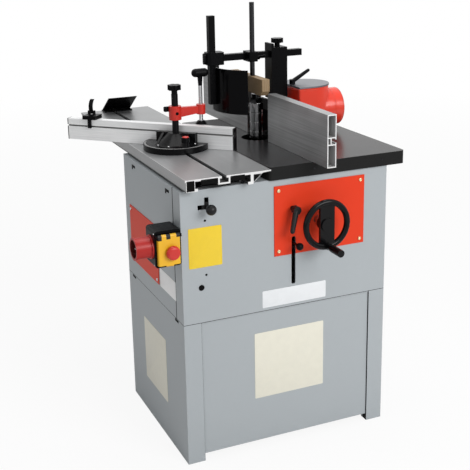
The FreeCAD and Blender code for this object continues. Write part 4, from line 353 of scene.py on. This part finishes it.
def coated_plate(name, colour):
    """Printed foil on a thin plate: even ink, faint dust and a soft gloss."""
    smoothest, dust_gloss = 0.34, 0.14
    finish = Finish(name, Coat_Weight=0.25, Coat_Roughness=0.2)
    dust = finish.noise(scale=45.0, detail=4.0)
    finish.set("Base Color", finish.shades(dust, colour, darkest=0.94, palest=1.03))
    finish.set("Roughness", smoothest + dust * dust_gloss)
    finish.relief(finish.noise(scale=700.0), depth=0.00002, edge=0.0003)
    return finish.material


def degree_band():
    """Pale scale band with a tick each two degrees and a longer one each five."""
    full_turn, tick_from, long_tick_from = 360.0, 0.0955, 0.093
    half_step, half_width, long_half_step, long_half_width = 1.0, 0.22, 2.5, 0.3
    smoothest, dust_gloss = 0.35, 0.15
    finish = Finish("degree_band")
    side, ahead, _ = finish.axes(0.0, PIVOT)
    degrees = finish.maths("ARCTAN2", ahead, side) * math.degrees(1) + full_turn
    reach = (side * side + ahead * ahead) ** 0.5
    tick = finish.maths("PINGPONG", degrees, half_step) < half_width
    long_tick = finish.maths("PINGPONG", degrees, long_half_step) < long_half_width
    ink = finish.maths("MAXIMUM", tick * (reach > tick_from), long_tick * (reach > long_tick_from))
    dust = finish.noise(scale=60.0, detail=3.0)
    finish.set("Base Color", finish.mix(ink, finish.mix(dust, grey(0.22), grey(0.30)), grey(0.02)))
    finish.set("Roughness", smoothest + dust * dust_gloss)
    return finish.material


def inlet_look():
    """Red shroud with painted shade in its bore; bright metal pins, painted paler as a highlight."""
    roughness, pin_polish, rub_gloss, pin_metal = 0.32, 0.1, 0.1, 0.2
    finish = Finish("inlet_shade_and_highlight", Specular_IOR_Level=0.3)
    ahead, side, height = finish.axes(0.0, (0, INLET_Y, INLET_Z))
    reach = (side * side + height * height) ** 0.5
    pin = within(reach, INLET_PINS) * (ahead < INLET_FACE - PIN_FOOT)
    rub = finish.noise(scale=40.0, detail=3.0)
    shroud = finish.mix(reach < INLET_BORE, (0.42, 0.018, 0.015), (0.090, 0.006, 0.005))
    finish.set("Base Color", finish.mix(pin, shroud, (0.85, 0.85, 0.84)))
    finish.set("Metallic", pin * pin_metal)
    finish.set("Roughness", roughness - pin * pin_polish + rub * rub_gloss)
    finish.relief(finish.noise(scale=1200.0), depth=0.00004, edge=0.001)
    return finish.material


def seams(x, y, z):
    """Shadow gaps where the cabinet meets the stand, round the lower front panel and on the left wall."""
    across = within(z, (SEAM_Z - SEAM_HALF, SEAM_Z + SEAM_HALF))
    beside = within(x * x, (POST_GAP[0] ** 2, POST_GAP[1] ** 2)) * (z < SEAM_Z) * (y < POST_DEPTH)
    behind = within(y, SIDE_SEAM) * (x < SIDE_SEAM_DEPTH) * (z > SEAM_Z)
    return (across + beside + behind) > HALF


def hood_inside(x, y, z):
    """The hood's inner walls, black with dust and shade."""
    side = y - SPINDLE_Y
    return (x < HOOD_INSIDE_END) * (side * side < HOOD_INSIDE_HALF ** 2) * (z < HOOD_INSIDE_TOP)


def slider_shade_line(x, y, z):
    """Painted shade: a dark line along the foot of the sliding table's left side."""
    return (x < SLIDER_SIDE) * (z < SLIDER_SHADE_LINE_TOP)


def slider_hollow(x, y, z):
    """Painted shade: everything under the sliding table's plate, and the dark line on its left side."""
    return (z < SLIDER_HOLLOW_TOP) * (x > SLIDER_HOLLOW_LEFT) + slider_shade_line(x, y, z)


def slider_painted_light(x, y, z):
    """Painted highlight on the sliding table's ends, and weaker painted light on the rest of its left side."""
    return beyond(y, SLIDER_ENDS) + ((x < SLIDER_SIDE) - slider_shade_line(x, y, z)) * SLIDER_SIDE_LIGHT


def cover_gap_shade(x, y, z):
    """Painted shade in the gaps at the switch cover's upper edge."""
    left, right, middle = (within(x, gap[:2]) * (z > gap[2]) for gap in COVER_GAP_SHADES)
    return (left + right + middle) > HALF


grey_paint = sprayed_paint("cabinet_grey_enamel", (0.400, 0.432, 0.452), roughness=0.42, dark=seams)
plate_red = sprayed_paint("control_plate_red", (0.76, 0.050, 0.017), roughness=0.36, shine=0.12)
hood_red = sprayed_paint("hood_red_gloss", (0.80, 0.042, 0.016), roughness=0.22, coat=0.35, edge=0.012,
                         shine=0.4, dark=hood_inside)
motor_paint = sprayed_paint("motor_blue_grey", (0.05, 0.062, 0.075), roughness=0.45)
black_paint = sprayed_paint("black_satin_enamel", BLACK, roughness=0.28, edge=0.0025, shine=0.07)

black_plastic = moulded_plastic("black_moulding", BLACK, roughness=0.3, shine=0.07)
black_gloss = moulded_plastic("black_gloss_moulding", DEEP_BLACK, roughness=0.18, grain=0.00003, coat=0.05,
                              shine=0.08)
wheel_gloss = moulded_plastic("wheel_gloss", (0.003, 0.003, 0.0035), roughness=0.18, grain=0.00003,
                              coat=0.08, shine=0.12)
lever_black = moulded_plastic("lever_black", (0.010, 0.010, 0.011), roughness=0.34, shine=0.22)
# Matt black of the grommet, also used for plates of painted shade in holes, slot mouths and hollows.
black_and_painted_shade = moulded_plastic("slot_black_and_painted_shade", grey(0.003), roughness=0.5, shine=0.06)
belt_rubber = moulded_plastic("belt_rubber", grey(0.016), roughness=0.7, grain=0.0002, shine=0.3)
red_plastic = moulded_plastic("red_moulding", (0.60, 0.024, 0.016), roughness=0.3)
yellow_plastic = moulded_plastic("yellow_moulding", YELLOW, roughness=0.34)

arm_red = cast_metal("arm_red_enamel", (0.62, 0.026, 0.016), roughness=0.3, lumps=0.0002)
black_casting = cast_metal("black_gloss_casting", DEEP_BLACK, roughness=0.26, lumps=0.0002, shine=0.12)
grey_iron = cast_metal("raw_grey_iron", (0.20, 0.205, 0.21), roughness=0.6, lumps=0.0004, metallic=0.4)

lid_steel = turned_steel("lid_grey_steel", (0.21, 0.22, 0.245), roughness=0.3, along=(900, 8, 900))
dark_steel = turned_steel("dark_bar_steel", (0.035, 0.035, 0.038), roughness=0.32)
spindle_steel = turned_steel("spindle_dark_steel", (0.045, 0.045, 0.047), roughness=0.12)
collar_steel = turned_steel("collar_steel", (0.24, 0.24, 0.245), roughness=0.08)
bright_steel = turned_steel("bright_steel", (0.62, 0.62, 0.63), roughness=0.22)
alloy = turned_steel("cast_alloy", (0.55, 0.56, 0.57), roughness=0.34)
brass = turned_steel("nut_brass", (0.66, 0.46, 0.18), roughness=0.28)
brassy_zinc = turned_steel("yellow_zinc", (0.78, 0.66, 0.42), roughness=0.28)

yellow_foil = coated_plate("yellow_foil", (0.86, 0.60, 0.012))
white_foil = coated_plate("white_foil", (0.81, 0.83, 0.85))
# The side plate's white foil, paler than the front one as painted light on the less lit left side.
white_foil_painted_light = coated_plate("white_foil_painted_light", grey(0.95))
cream_foil = coated_plate("cream_foil", (0.80, 0.775, 0.66))

table_paint = table_plate()
beech = planed_beech()
band = degree_band()
inlet_shade_and_highlight = inlet_look()
# Fences: painted highlight on their ends, painted light in their shaded hollows.
fence_alloy = drawn_alloy(
    "fence_alloy", (0.42, 0.425, 0.43), sides=(420, 3, 420), streak=0.62, hollow_shading=grey(0.50),
    end_mask=lambda x, y, z: beyond(y, FENCE_ENDS),
    hollow=lambda x, y, z: within(x, FENCE_HOLLOW_X) * within(z, FENCE_HOLLOW_Z))
# Sliding table: painted highlight on its ends, painted light on its left side, painted shade under its plate and
# along that side's foot.
slider_alloy = drawn_alloy(
    "slider_alloy", (0.33, 0.335, 0.34), sides=(800, 4, 800), metallic=0.55, roughness=0.34,
    hollow_shading=grey(0.05), end_mask=slider_painted_light, hollow=slider_hollow)
# Mitre fence: black end caps, and painted shade in its hollows.
mitre_alloy = drawn_alloy(
    "mitre_alloy", (0.90, 0.915, 0.925), sides=(5, 800, 800), turn=-MITRE_TURN, centre=PIVOT, metallic=0.35,
    roughness=0.4, end_tone=(0.012, 0.012, 0.013), hollow_shading=grey(0.38),
    end_mask=lambda u, v, z: beyond(u, (MITRE_ENDS[0] + MITRE_CAP, MITRE_ENDS[1] - MITRE_CAP)),
    hollow=lambda u, v, z: within(v, MITRE_HOLLOW_Y) * within(z, MITRE_HOLLOW_Z))
# Guide rail: darkened all over as painted shade, since it sits hidden inside, with darker painted shade at its
# end.
rail_alloy_painted_shade = drawn_alloy(
    "rail_alloy_painted_shade", (0.10, 0.10, 0.105), sides=(800, 4, 800), end_tone=(0.06, 0.06, 0.062),
    end_mask=lambda x, y, z: y < RAIL_END)
screw_and_handle = two_part("clamp_screw_finish", lambda x, y, z: z < CLAMP_SCREW_TOP, BLACK, (0.66, 0.66, 0.67))
lever_and_rod = two_part("belt_lever_finish", lambda x, y, z: y > LEVER_KNOB_Y, BLACK, (0.05, 0.05, 0.052))
column_and_knob = two_part("column_finish", lambda x, y, z: z < COLUMN_TOP, BLACK, (0.014, 0.014, 0.015),
                           roughness=(0.3, 0.4))
# Switch cover: yellow, with painted shade in the gaps at its upper edge.
cover_yellow_and_gap_shade = two_part("cover_yellow_and_gap_shade", cover_gap_shade, YELLOW, grey(0.003), metallic=(0.0, 0.0),
                        roughness=(0.32, 0.5), shine=0.4)

dressed = {
    grey_paint: "stand_shell stand_front_panel upper_cabinet",
    plate_red: "control_plate side_plate",
    hood_red: "hood_shell",
    lid_steel: "hood_top",
    arm_red: "clamp_arm",
    table_paint: "main_table table_ring",
    fence_alloy: "infeed_fence outfeed_fence",
    slider_alloy: "sliding_table",
    mitre_alloy: "mitre_fence",
    rail_alloy_painted_shade: "guide_rail",
    bright_steel: "guide_columns spindle_bearings pinion_shaft lift_screw",
    spindle_steel: "spindle_shaft spindle_nut",
    collar_steel: "spindle_collars",
    alloy: "spindle_pulley motor_pulley",
    black_plastic: "switch_box clamp_pad stop_carrier guard_clamp guard_thumb shoe_lever hood_lever",
    wheel_gloss: "handwheel crank_grip",
    lever_black: "height_lock_lever spindle_lock",
    black_gloss: "guard_sheet bar_knob mitre_lock",
    black_paint: "column_beams edging_shoe stop_finger fence_carrier bar_post shoe_clamp cross_bar guard_bar",
    dark_steel: "shoe_rod",
    black_casting: "mitre_head",
    grey_iron: "drive_bracket carriage",
    motor_paint: "motor",
    belt_rubber: "drive_belt",
    brass: "lift_nut",
    inlet_shade_and_highlight: "power_inlet",
    cover_yellow_and_gap_shade: "switch_cover",
    red_plastic: "stop_button",
    screw_and_handle: "clamp_screw",
    lever_and_rod: "belt_lever",
    column_and_knob: "clamp_column",
    beech: "pressure_shoe",
}
for material, names in dressed.items():
    for name in names.split():
        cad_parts[name].data.materials.clear()
        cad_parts[name].data.materials.append(material)

# Pieces: how fine they are, in metres, steps and angles
EDGE = 0.0002
MERGE = 1e-6
ALONG = 0.9             # least cosine of an edge that runs along an axis
CREASE = 0.8            # least angle, in radians, of an edge to soften
SHARP = math.radians(40)
TURN_STEPS = 32
HEAD_STEPS = 24


def keep(bm, name, body, material):
    """Close the mesh, put it in the scene and let it ride on its body."""
    bmesh.ops.recalc_face_normals(bm, faces=bm.faces)
    for face in bm.faces:
        face.smooth = True
    mesh = bpy.data.meshes.new(name)
    bm.to_mesh(mesh)
    bm.free()
    mesh.set_sharp_from_angle(angle=SHARP)
    piece = bpy.data.objects.new(name, mesh)
    bpy.context.scene.collection.objects.link(piece)
    mesh.materials.append(material)
    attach(piece, body)


def standing(axis):
    """A turn that takes the upright to an axis."""
    return Z.rotation_difference(axis).to_matrix().to_4x4()


def rounded(bm, edges, offset, segments):
    return bmesh.ops.bevel(bm, geom=list(edges), offset=offset, offset_type="OFFSET", segments=segments,
                           profile=0.5, affect="EDGES", material=-1)["faces"]


def slab(bm, low, high, axis, corner=0.0):
    """A plate between two corners, rounded about one axis and softened at its edges."""
    low, high = Vector(low), Vector(high)
    shape = Matrix.Translation((low + high) / 2) @ Matrix.Diagonal((*(high - low), 1.0))
    verts = bmesh.ops.create_cube(bm, size=1.0, matrix=shape)["verts"]
    edges = {e for v in verts for e in v.link_edges}
    if corner:
        upright = [e for e in edges if abs((e.verts[0].co - e.verts[1].co).normalized().dot(axis)) > ALONG]
        made = rounded(bm, upright, corner, segments=6)
        faces = {f for v in verts if v.is_valid for f in v.link_faces} | set(made)
        faces |= {f for face in faces for e in face.edges for f in e.link_faces}
        edges = {e for f in faces for e in f.edges if len(e.link_faces) == 2 and e.calc_face_angle(0.0) > CREASE}
    rounded(bm, edges, EDGE, segments=2)


def plate(name, low, high, axis, body, material, corner=0.003):
    bm = bmesh.new()
    slab(bm, low, high, axis, corner)
    keep(bm, name, body, material)


def turned_piece(name, outline, centre, axis, body, material):
    """Turn an outline of (radius, height) pairs into a closed round piece."""
    bm = bmesh.new()
    verts = [bm.verts.new((radius, 0, height)) for radius, height in outline]
    edges = [bm.edges.new(pair) for pair in zip(verts, verts[1:])]
    bmesh.ops.spin(bm, geom=verts + edges, cent=ORIGIN, axis=Z, angle=math.tau, steps=TURN_STEPS, use_merge=True)
    bmesh.ops.remove_doubles(bm, verts=bm.verts, dist=MERGE)
    bmesh.ops.transform(bm, matrix=Matrix.Translation(centre) @ standing(axis), verts=bm.verts)
    keep(bm, name, body, material)


def screws(name, centres, axis, radius, height, body, material):
    """Domed screw heads with a drive recess."""
    rim_from, dome, land, recess_slope, recess_depth = 0.9, 0.55, 0.12, 0.02, 0.5
    bm = bmesh.new()
    for centre in centres:
        head = bmesh.new()
        bmesh.ops.create_cone(head, cap_ends=True, segments=HEAD_STEPS, radius1=radius, radius2=radius,
                              depth=height, matrix=Matrix.Translation(Z * height / 2))
        rim = [e for e in head.edges if all(v.co.z > height * rim_from for v in e.verts)]
        rounded(head, rim, height * dome, segments=4)
        top = max(head.faces, key=lambda f: (f.calc_center_median().z, f.calc_area()))
        bmesh.ops.inset_region(head, faces=[top], thickness=radius * land, depth=0.0)
        bmesh.ops.inset_region(head, faces=[top], thickness=radius * recess_slope, depth=-height * recess_depth)
        bmesh.ops.transform(head, matrix=Matrix.Translation(centre) @ standing(axis), verts=head.verts)
        mesh = bpy.data.meshes.new("head")
        head.to_mesh(mesh)
        head.free()
        bm.from_mesh(mesh)
        bpy.data.meshes.remove(mesh)
    keep(bm, name, body, material)


# Bare plates: name, extent across, extent upward, face, material, slot
FOIL = 0.0008
for name, (start, stop), (foot, top), face, foil, slot in (
        ("front_yellow_plate", (-0.3065, -0.2065), (0.606, 0.723), FRONT, yellow_foil, "yellow_plastic"),
        ("front_white_plate", (-0.0835, 0.1245), (0.449, 0.501), FRONT, white_foil, "cabinet_grey"),
        ("front_cream_plate", (-0.1085, 0.1195), (0.162, 0.371), PANEL_Y, cream_foil, "cabinet_grey")):
    plate(name, (start, face - FOIL, foot), (stop, face, top), Y, "cabinet", foil)
for name, (start, stop), (foot, top), foil in (
        ("side_cream_plate", (-0.0885, 0.1135), (0.122, 0.330), cream_foil),
        ("side_white_plate", (-0.1955, -0.0615), (0.494, 0.552), white_foil_painted_light)):
    plate(name, (LEFT - FOIL, start, foot), (LEFT, stop, top), X, "cabinet", foil)

# Screws of both red plates
FRONT_INSET, SIDE_INSET = 0.014, 0.012
low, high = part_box("control_plate")
heads = [(x, low.y, z) for x in (low.x + FRONT_INSET, high.x - FRONT_INSET)
         for z in (low.z + FRONT_INSET, high.z - FRONT_INSET)]
screws("control_plate_screws", heads, -Y, radius=0.0052, height=0.0030, body="cabinet", material=brassy_zinc)
low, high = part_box("side_plate")
heads = [(low.x, y, z) for y in (low.y + SIDE_INSET, high.y - SIDE_INSET)
         for z in (low.z + SIDE_INSET, high.z - SIDE_INSET)]
screws("side_plate_screws", heads, -X, radius=0.0045, height=0.0028, body="cabinet", material=bright_steel)

# Grommet, and discs of painted shade in the small holes of the front wall
GROMMET = [(0.0, 0.0), (0.0085, 0.0), (0.0085, 0.0012), (0.0076, 0.0022), (0.0055, 0.0018), (0.0, 0.0006)]
GROMMET_X, GROMMET_Z = -0.2710, 0.546
HOLE_SHADE_DISC = [(0.0, 0.0), (0.0034, 0.0), (0.0034, 0.0008), (0.0, 0.0008)]
HOLE_X, HOLE_DEPTH = -0.2555, 0.0012
turned_piece("cabinet_grommet", GROMMET, Vector((GROMMET_X, FRONT, GROMMET_Z)), -Y, "cabinet", black_and_painted_shade)
for name, height in (("upper_hole_shade", 0.741), ("lower_hole_shade", 0.582)):
    turned_piece(name, HOLE_SHADE_DISC, Vector((HOLE_X, FRONT + HOLE_DEPTH, height)), -Y, "cabinet", black_and_painted_shade)

# Screws in the main table's front edge
TABLE_SCREWS_X, TABLE_SCREW_DROP = (0.081, 0.306), 0.019
edge_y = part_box("main_table")[0].y
heads = [(x, edge_y, TABLE_TOP - TABLE_SCREW_DROP) for x in TABLE_SCREWS_X]
screws("table_front_screws", heads, -Y, radius=0.0030, height=0.0012, body="cabinet", material=dark_steel)

# Black plates of painted shade in the mouths of the hook slots on the left wall: two with a drop at its top, two
# plain ones under the seam.
# Places count back from the front and up from the wall's top or the seam.
MOUTH = 0.0006
MOUTH_LENGTH, DROP_FROM = 0.0320, 0.0220
MOUTH_TOP, MOUTH_FOOT, DROP_FOOT = -0.0155, -0.0235, -0.0300
SEAM_MOUTH_TOP, SEAM_MOUTH_FOOT = -0.0020, -0.0090
wall_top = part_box("upper_cabinet")[1].z
mouths = []
for near in (0.0840, 0.3890):
    mouths.append((near, near + MOUTH_LENGTH, wall_top + MOUTH_FOOT, wall_top + MOUTH_TOP))
    mouths.append((near + DROP_FROM, near + MOUTH_LENGTH, wall_top + DROP_FOOT, wall_top + MOUTH_FOOT))
for near, far in ((0.0440, 0.0720), (0.4350, 0.4650)):
    mouths.append((near, far, SEAM_Z + SEAM_MOUTH_FOOT, SEAM_Z + SEAM_MOUTH_TOP))
bm = bmesh.new()
for near, far, foot, top in mouths:
    slab(bm, (LEFT - MOUTH, FRONT + near, foot), (LEFT, FRONT + far, top), X)
keep(bm, "side_hook_slot_shades", "cabinet", black_and_painted_shade)

# Switch: the cover's lower tab and two box screws
TAB_LEFT, TAB_RIGHT, TAB_DROP, TAB_OVERLAP = 0.022, 0.020, 0.0035, 0.0010
TAB_FRONT, TAB_BACK, TAB_CORNER = 0.0010, 0.0070, 0.0010
BOX_SCREW_BACK, BOX_SCREW_INSET = 0.0180, 0.0080
low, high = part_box("switch_cover")
plate("switch_cover_tab", (low.x + TAB_LEFT, low.y + TAB_FRONT, low.z - TAB_DROP),
      (high.x - TAB_RIGHT, low.y + TAB_BACK, low.z + TAB_OVERLAP), Y, "cover", yellow_plastic,
      TAB_CORNER)
low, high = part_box("switch_box")
heads = [(low.x, low.y + BOX_SCREW_BACK, z) for z in (low.z + BOX_SCREW_INSET, high.z - BOX_SCREW_INSET)]
screws("switch_box_screws", heads, -X, radius=0.0024, height=0.0012, body="cabinet", material=bright_steel)

# Clamp arm: screw and small lever at its boss; red cap on the mitre lock
BOSS_RADIUS, BOSS_SCREW_Z = 0.0188, 0.979
BOSS_LEVER_LOW, BOSS_LEVER_HIGH = Vector((-0.0330, 0.0040, 0.9830)), Vector((-0.0150, 0.0110, 0.9985))
LOCK_CAP = [(0.0, 0.0), (0.0100, 0.0), (0.0100, 0.0012), (0.0085, 0.0024), (0.0, 0.0030)]
LOCK_Y = 0.0085
heads = [(PIVOT.x, PIVOT.y - BOSS_RADIUS, BOSS_SCREW_Z)]
screws("arm_boss_screw", heads, -Y, radius=0.0048, height=0.0016, body="hold_arm", material=black_plastic)
plate("arm_boss_lever", PIVOT + BOSS_LEVER_LOW, PIVOT + BOSS_LEVER_HIGH, Y, "hold_arm", black_plastic)
turned_piece("mitre_lock_cap", LOCK_CAP, Vector((PIVOT.x, LOCK_Y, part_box("mitre_lock")[1].z)), Z, "mitre_clamp",
             red_plastic)

# Dark plugs in both hollow ends of the mitre fence
PLUG_SINK, PLUG_LENGTH, PLUG_CORNER = 0.0003, 0.004, 0.0008
PLUG_Y, PLUG_HEIGHTS = (0.0182, 0.0368), ((0.8735, 0.9070), (0.9235, 0.9340))
left_plug = MITRE_ENDS[0] + PLUG_SINK
right_plug = MITRE_ENDS[1] - PLUG_SINK
for name, start, stop in (("mitre_plug_left", left_plug, left_plug + PLUG_LENGTH),
                          ("mitre_plug_right", right_plug - PLUG_LENGTH, right_plug)):
    bm = bmesh.new()
    for foot, top in PLUG_HEIGHTS:
        slab(bm, (start, PLUG_Y[0], foot), (stop, PLUG_Y[1], top), X, PLUG_CORNER)
    swing = Matrix.Translation(PIVOT) @ Matrix.Rotation(MITRE_TURN, 4, "Z")
    bmesh.ops.transform(bm, matrix=swing, verts=bm.verts)
    keep(bm, name, "mitre", black_plastic)

# Black plates of painted shade in the hollows at the sliding table's front end: left, foot, right and top of each
END_HOLLOW_SHADES = ((-0.3167, 0.8378, -0.2943, 0.8668), (-0.2752, 0.8520, -0.2262, 0.8668),
        (-0.2262, 0.8435, -0.1888, 0.8468), (-0.1888, 0.8520, -0.1462, 0.8668))
GUSSET_SHADE = ((-0.1195, 0.8428), (-0.0958, 0.8630), (-0.1195, 0.8630))
SHADE_OUT, SHADE_IN, SHADE_CORNER = 0.0010, 0.0004, 0.0012
bm = bmesh.new()
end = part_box("sliding_table")[0].y
for left, foot, right, top in END_HOLLOW_SHADES:
    slab(bm, (left, end - SHADE_OUT, foot), (right, end + SHADE_IN, top), Y, SHADE_CORNER)
corners = [bm.verts.new((x, end + SHADE_IN, z)) for x, z in GUSSET_SHADE]
made = bmesh.ops.extrude_face_region(bm, geom=[bm.faces.new(corners)], use_keep_orig=True)["geom"]
bmesh.ops.translate(bm, vec=-Y * (SHADE_OUT + SHADE_IN), verts=[v for v in made if isinstance(v, bmesh.types.BMVert)])
keep(bm, "table_end_hollow_shades", "slider", black_and_painted_shade)

# Screws and scale band on the half-round mitre base
BASE_GAP, BASE_HEIGHT = 0.0003, 0.018
BASE_SCREW_ORBIT, BASE_SCREW_TURNS = 0.0660, (-165, -130, -50, -15)
BAND_START, BAND_SWEEP, BAND_STEPS, BAND_THICKNESS = math.radians(-172), math.radians(164), 82, 0.0006
base_top = TABLE_TOP + BASE_GAP + BASE_HEIGHT
heads = [PIVOT + Matrix.Rotation(math.radians(turn), 3, "Z") @ Vector((BASE_SCREW_ORBIT, 0.0, base_top))
         for turn in BASE_SCREW_TURNS]
screws("mitre_base_screws", heads, Z, radius=0.0030, height=0.0018, body="mitre", material=bright_steel)
bm = bmesh.new()
ends = [bm.verts.new((PIVOT.x + radius, PIVOT.y, base_top)) for radius in (BAND_INNER, BAND_OUTER)]
edge = bm.edges.new(ends)
bmesh.ops.rotate(bm, cent=PIVOT, matrix=Matrix.Rotation(MITRE_TURN + BAND_START, 3, "Z"), verts=ends)
bmesh.ops.spin(bm, geom=[edge], cent=PIVOT, axis=Z, angle=BAND_SWEEP, steps=BAND_STEPS)
bmesh.ops.solidify(bm, geom=bm.faces, thickness=-BAND_THICKNESS)
keep(bm, "mitre_scale_band", "mitre", band)

# Camera
YAW, PITCH, ROLL = math.radians(23.41), math.radians(15.73), math.radians(-1.09)
EYE = (-1.1684, -2.5740, 1.5351)
FOCAL_PIXELS, PICTURE_PIXELS, SENSOR, SHIFT = 950.1, 470, 36, -0.1
ahead = Vector((math.sin(YAW) * math.cos(PITCH), math.cos(YAW) * math.cos(PITCH), -math.sin(PITCH)))
aside = Vector((math.cos(YAW), -math.sin(YAW), 0.0))
above = aside.cross(ahead)
right = aside * math.cos(ROLL) + above * math.sin(ROLL)
upward = above * math.cos(ROLL) - aside * math.sin(ROLL)
lens = bpy.data.cameras.new("camera")
lens.lens = FOCAL_PIXELS / PICTURE_PIXELS * SENSOR
lens.shift_y = SHIFT
lens.sensor_width = SENSOR
camera = bpy.data.objects.new("camera", lens)
camera.matrix_world = Matrix.Translation(EYE) @ Matrix((right, upward, -ahead)).transposed().to_4x4()
bpy.context.scene.collection.objects.link(camera)
bpy.context.scene.camera = camera

# Pale floor that fades into the white surroundings
FLOOR_HALF = 14.0
FADE_FROM, FADE_TO = 1.5, 6.0
GLOW_NEAR, GLOW_RISE = 0.9, 0.1
WHITE = (1.0, 1.0, 1.0, 1.0)
bm = bmesh.new()
bmesh.ops.create_grid(bm, x_segments=1, y_segments=1, size=FLOOR_HALF)
mesh = bpy.data.meshes.new("floor")
bm.to_mesh(mesh)
bm.free()
floor = bpy.data.objects.new("floor", mesh)
bpy.context.scene.collection.objects.link(floor)
pale = Finish("pale_floor", Roughness=0.9, Specular_IOR_Level=0.1)
pale.set("Base Color", pale.mix(pale.noise(scale=3.0), grey(0.86), grey(0.88)))
over, back, _ = pale.axes()
away = pale.soft((over * over + back * back) ** 0.5, FADE_FROM, FADE_TO)
seen = pale.node("ShaderNodeLightPath", {}, {}, "Is Camera Ray")
glow = pale.node("ShaderNodeEmission", {}, {"Color": WHITE, "Strength": 1.0})
mixed = pale.node("ShaderNodeMixShader", {}, {0: seen * (GLOW_NEAR + away * GLOW_RISE),
                                              1: Wire(pale, pale.shader.outputs[0]), 2: glow})
pale.tree.links.new(mixed.socket, pale.tree.nodes["Material Output"].inputs["Surface"])
mesh.materials.append(pale.material)


# Light
def soft_lamp(name, place, aim, size, watts):
    lamp = bpy.data.lights.new(name, "AREA")
    lamp.shape = "RECTANGLE"
    lamp.size, lamp.size_y = size
    lamp.energy = watts
    facing = (Vector(aim) - Vector(place)).to_track_quat("-Z", "Y").to_matrix().to_4x4()
    holder = bpy.data.objects.new(name, lamp)
    holder.matrix_world = Matrix.Translation(place) @ facing
    bpy.context.scene.collection.objects.link(holder)


soft_lamp("front_lamp", place=(1.2, -3.6, 2.6), aim=(0.0, 0.0, 0.6), size=(2.4, 1.6), watts=103)
soft_lamp("top_lamp", place=(0.2, 0.6, 4.0), aim=(0.0, 0.1, 0.8), size=(2.6, 2.6), watts=62)

# White surroundings: full strength to the camera and in reflections, less as fill light
FILL_STRENGTH, SEEN_STRENGTH = 0.36, 1.0
world = bpy.data.worlds.new("studio")
world.use_nodes = True
bpy.context.scene.world = world
nodes, links = world.node_tree.nodes, world.node_tree.links
path = nodes.new("ShaderNodeLightPath")
direct = path.outputs["Is Camera Ray"]
for ray in ("Is Glossy Ray", "Is Transmission Ray"):
    either = nodes.new("ShaderNodeMath")
    either.operation = "MAXIMUM"
    links.new(direct, either.inputs[0])
    links.new(path.outputs[ray], either.inputs[1])
    direct = either.outputs[0]
strength = nodes.new("ShaderNodeMapRange")
strength.inputs["To Min"].default_value = FILL_STRENGTH
strength.inputs["To Max"].default_value = SEEN_STRENGTH
links.new(direct, strength.inputs["Value"])
nodes["Background"].inputs["Color"].default_value = WHITE
links.new(strength.outputs[0], nodes["Background"].inputs["Strength"])
bpy.context.scene.view_settings.view_transform = "Standard"
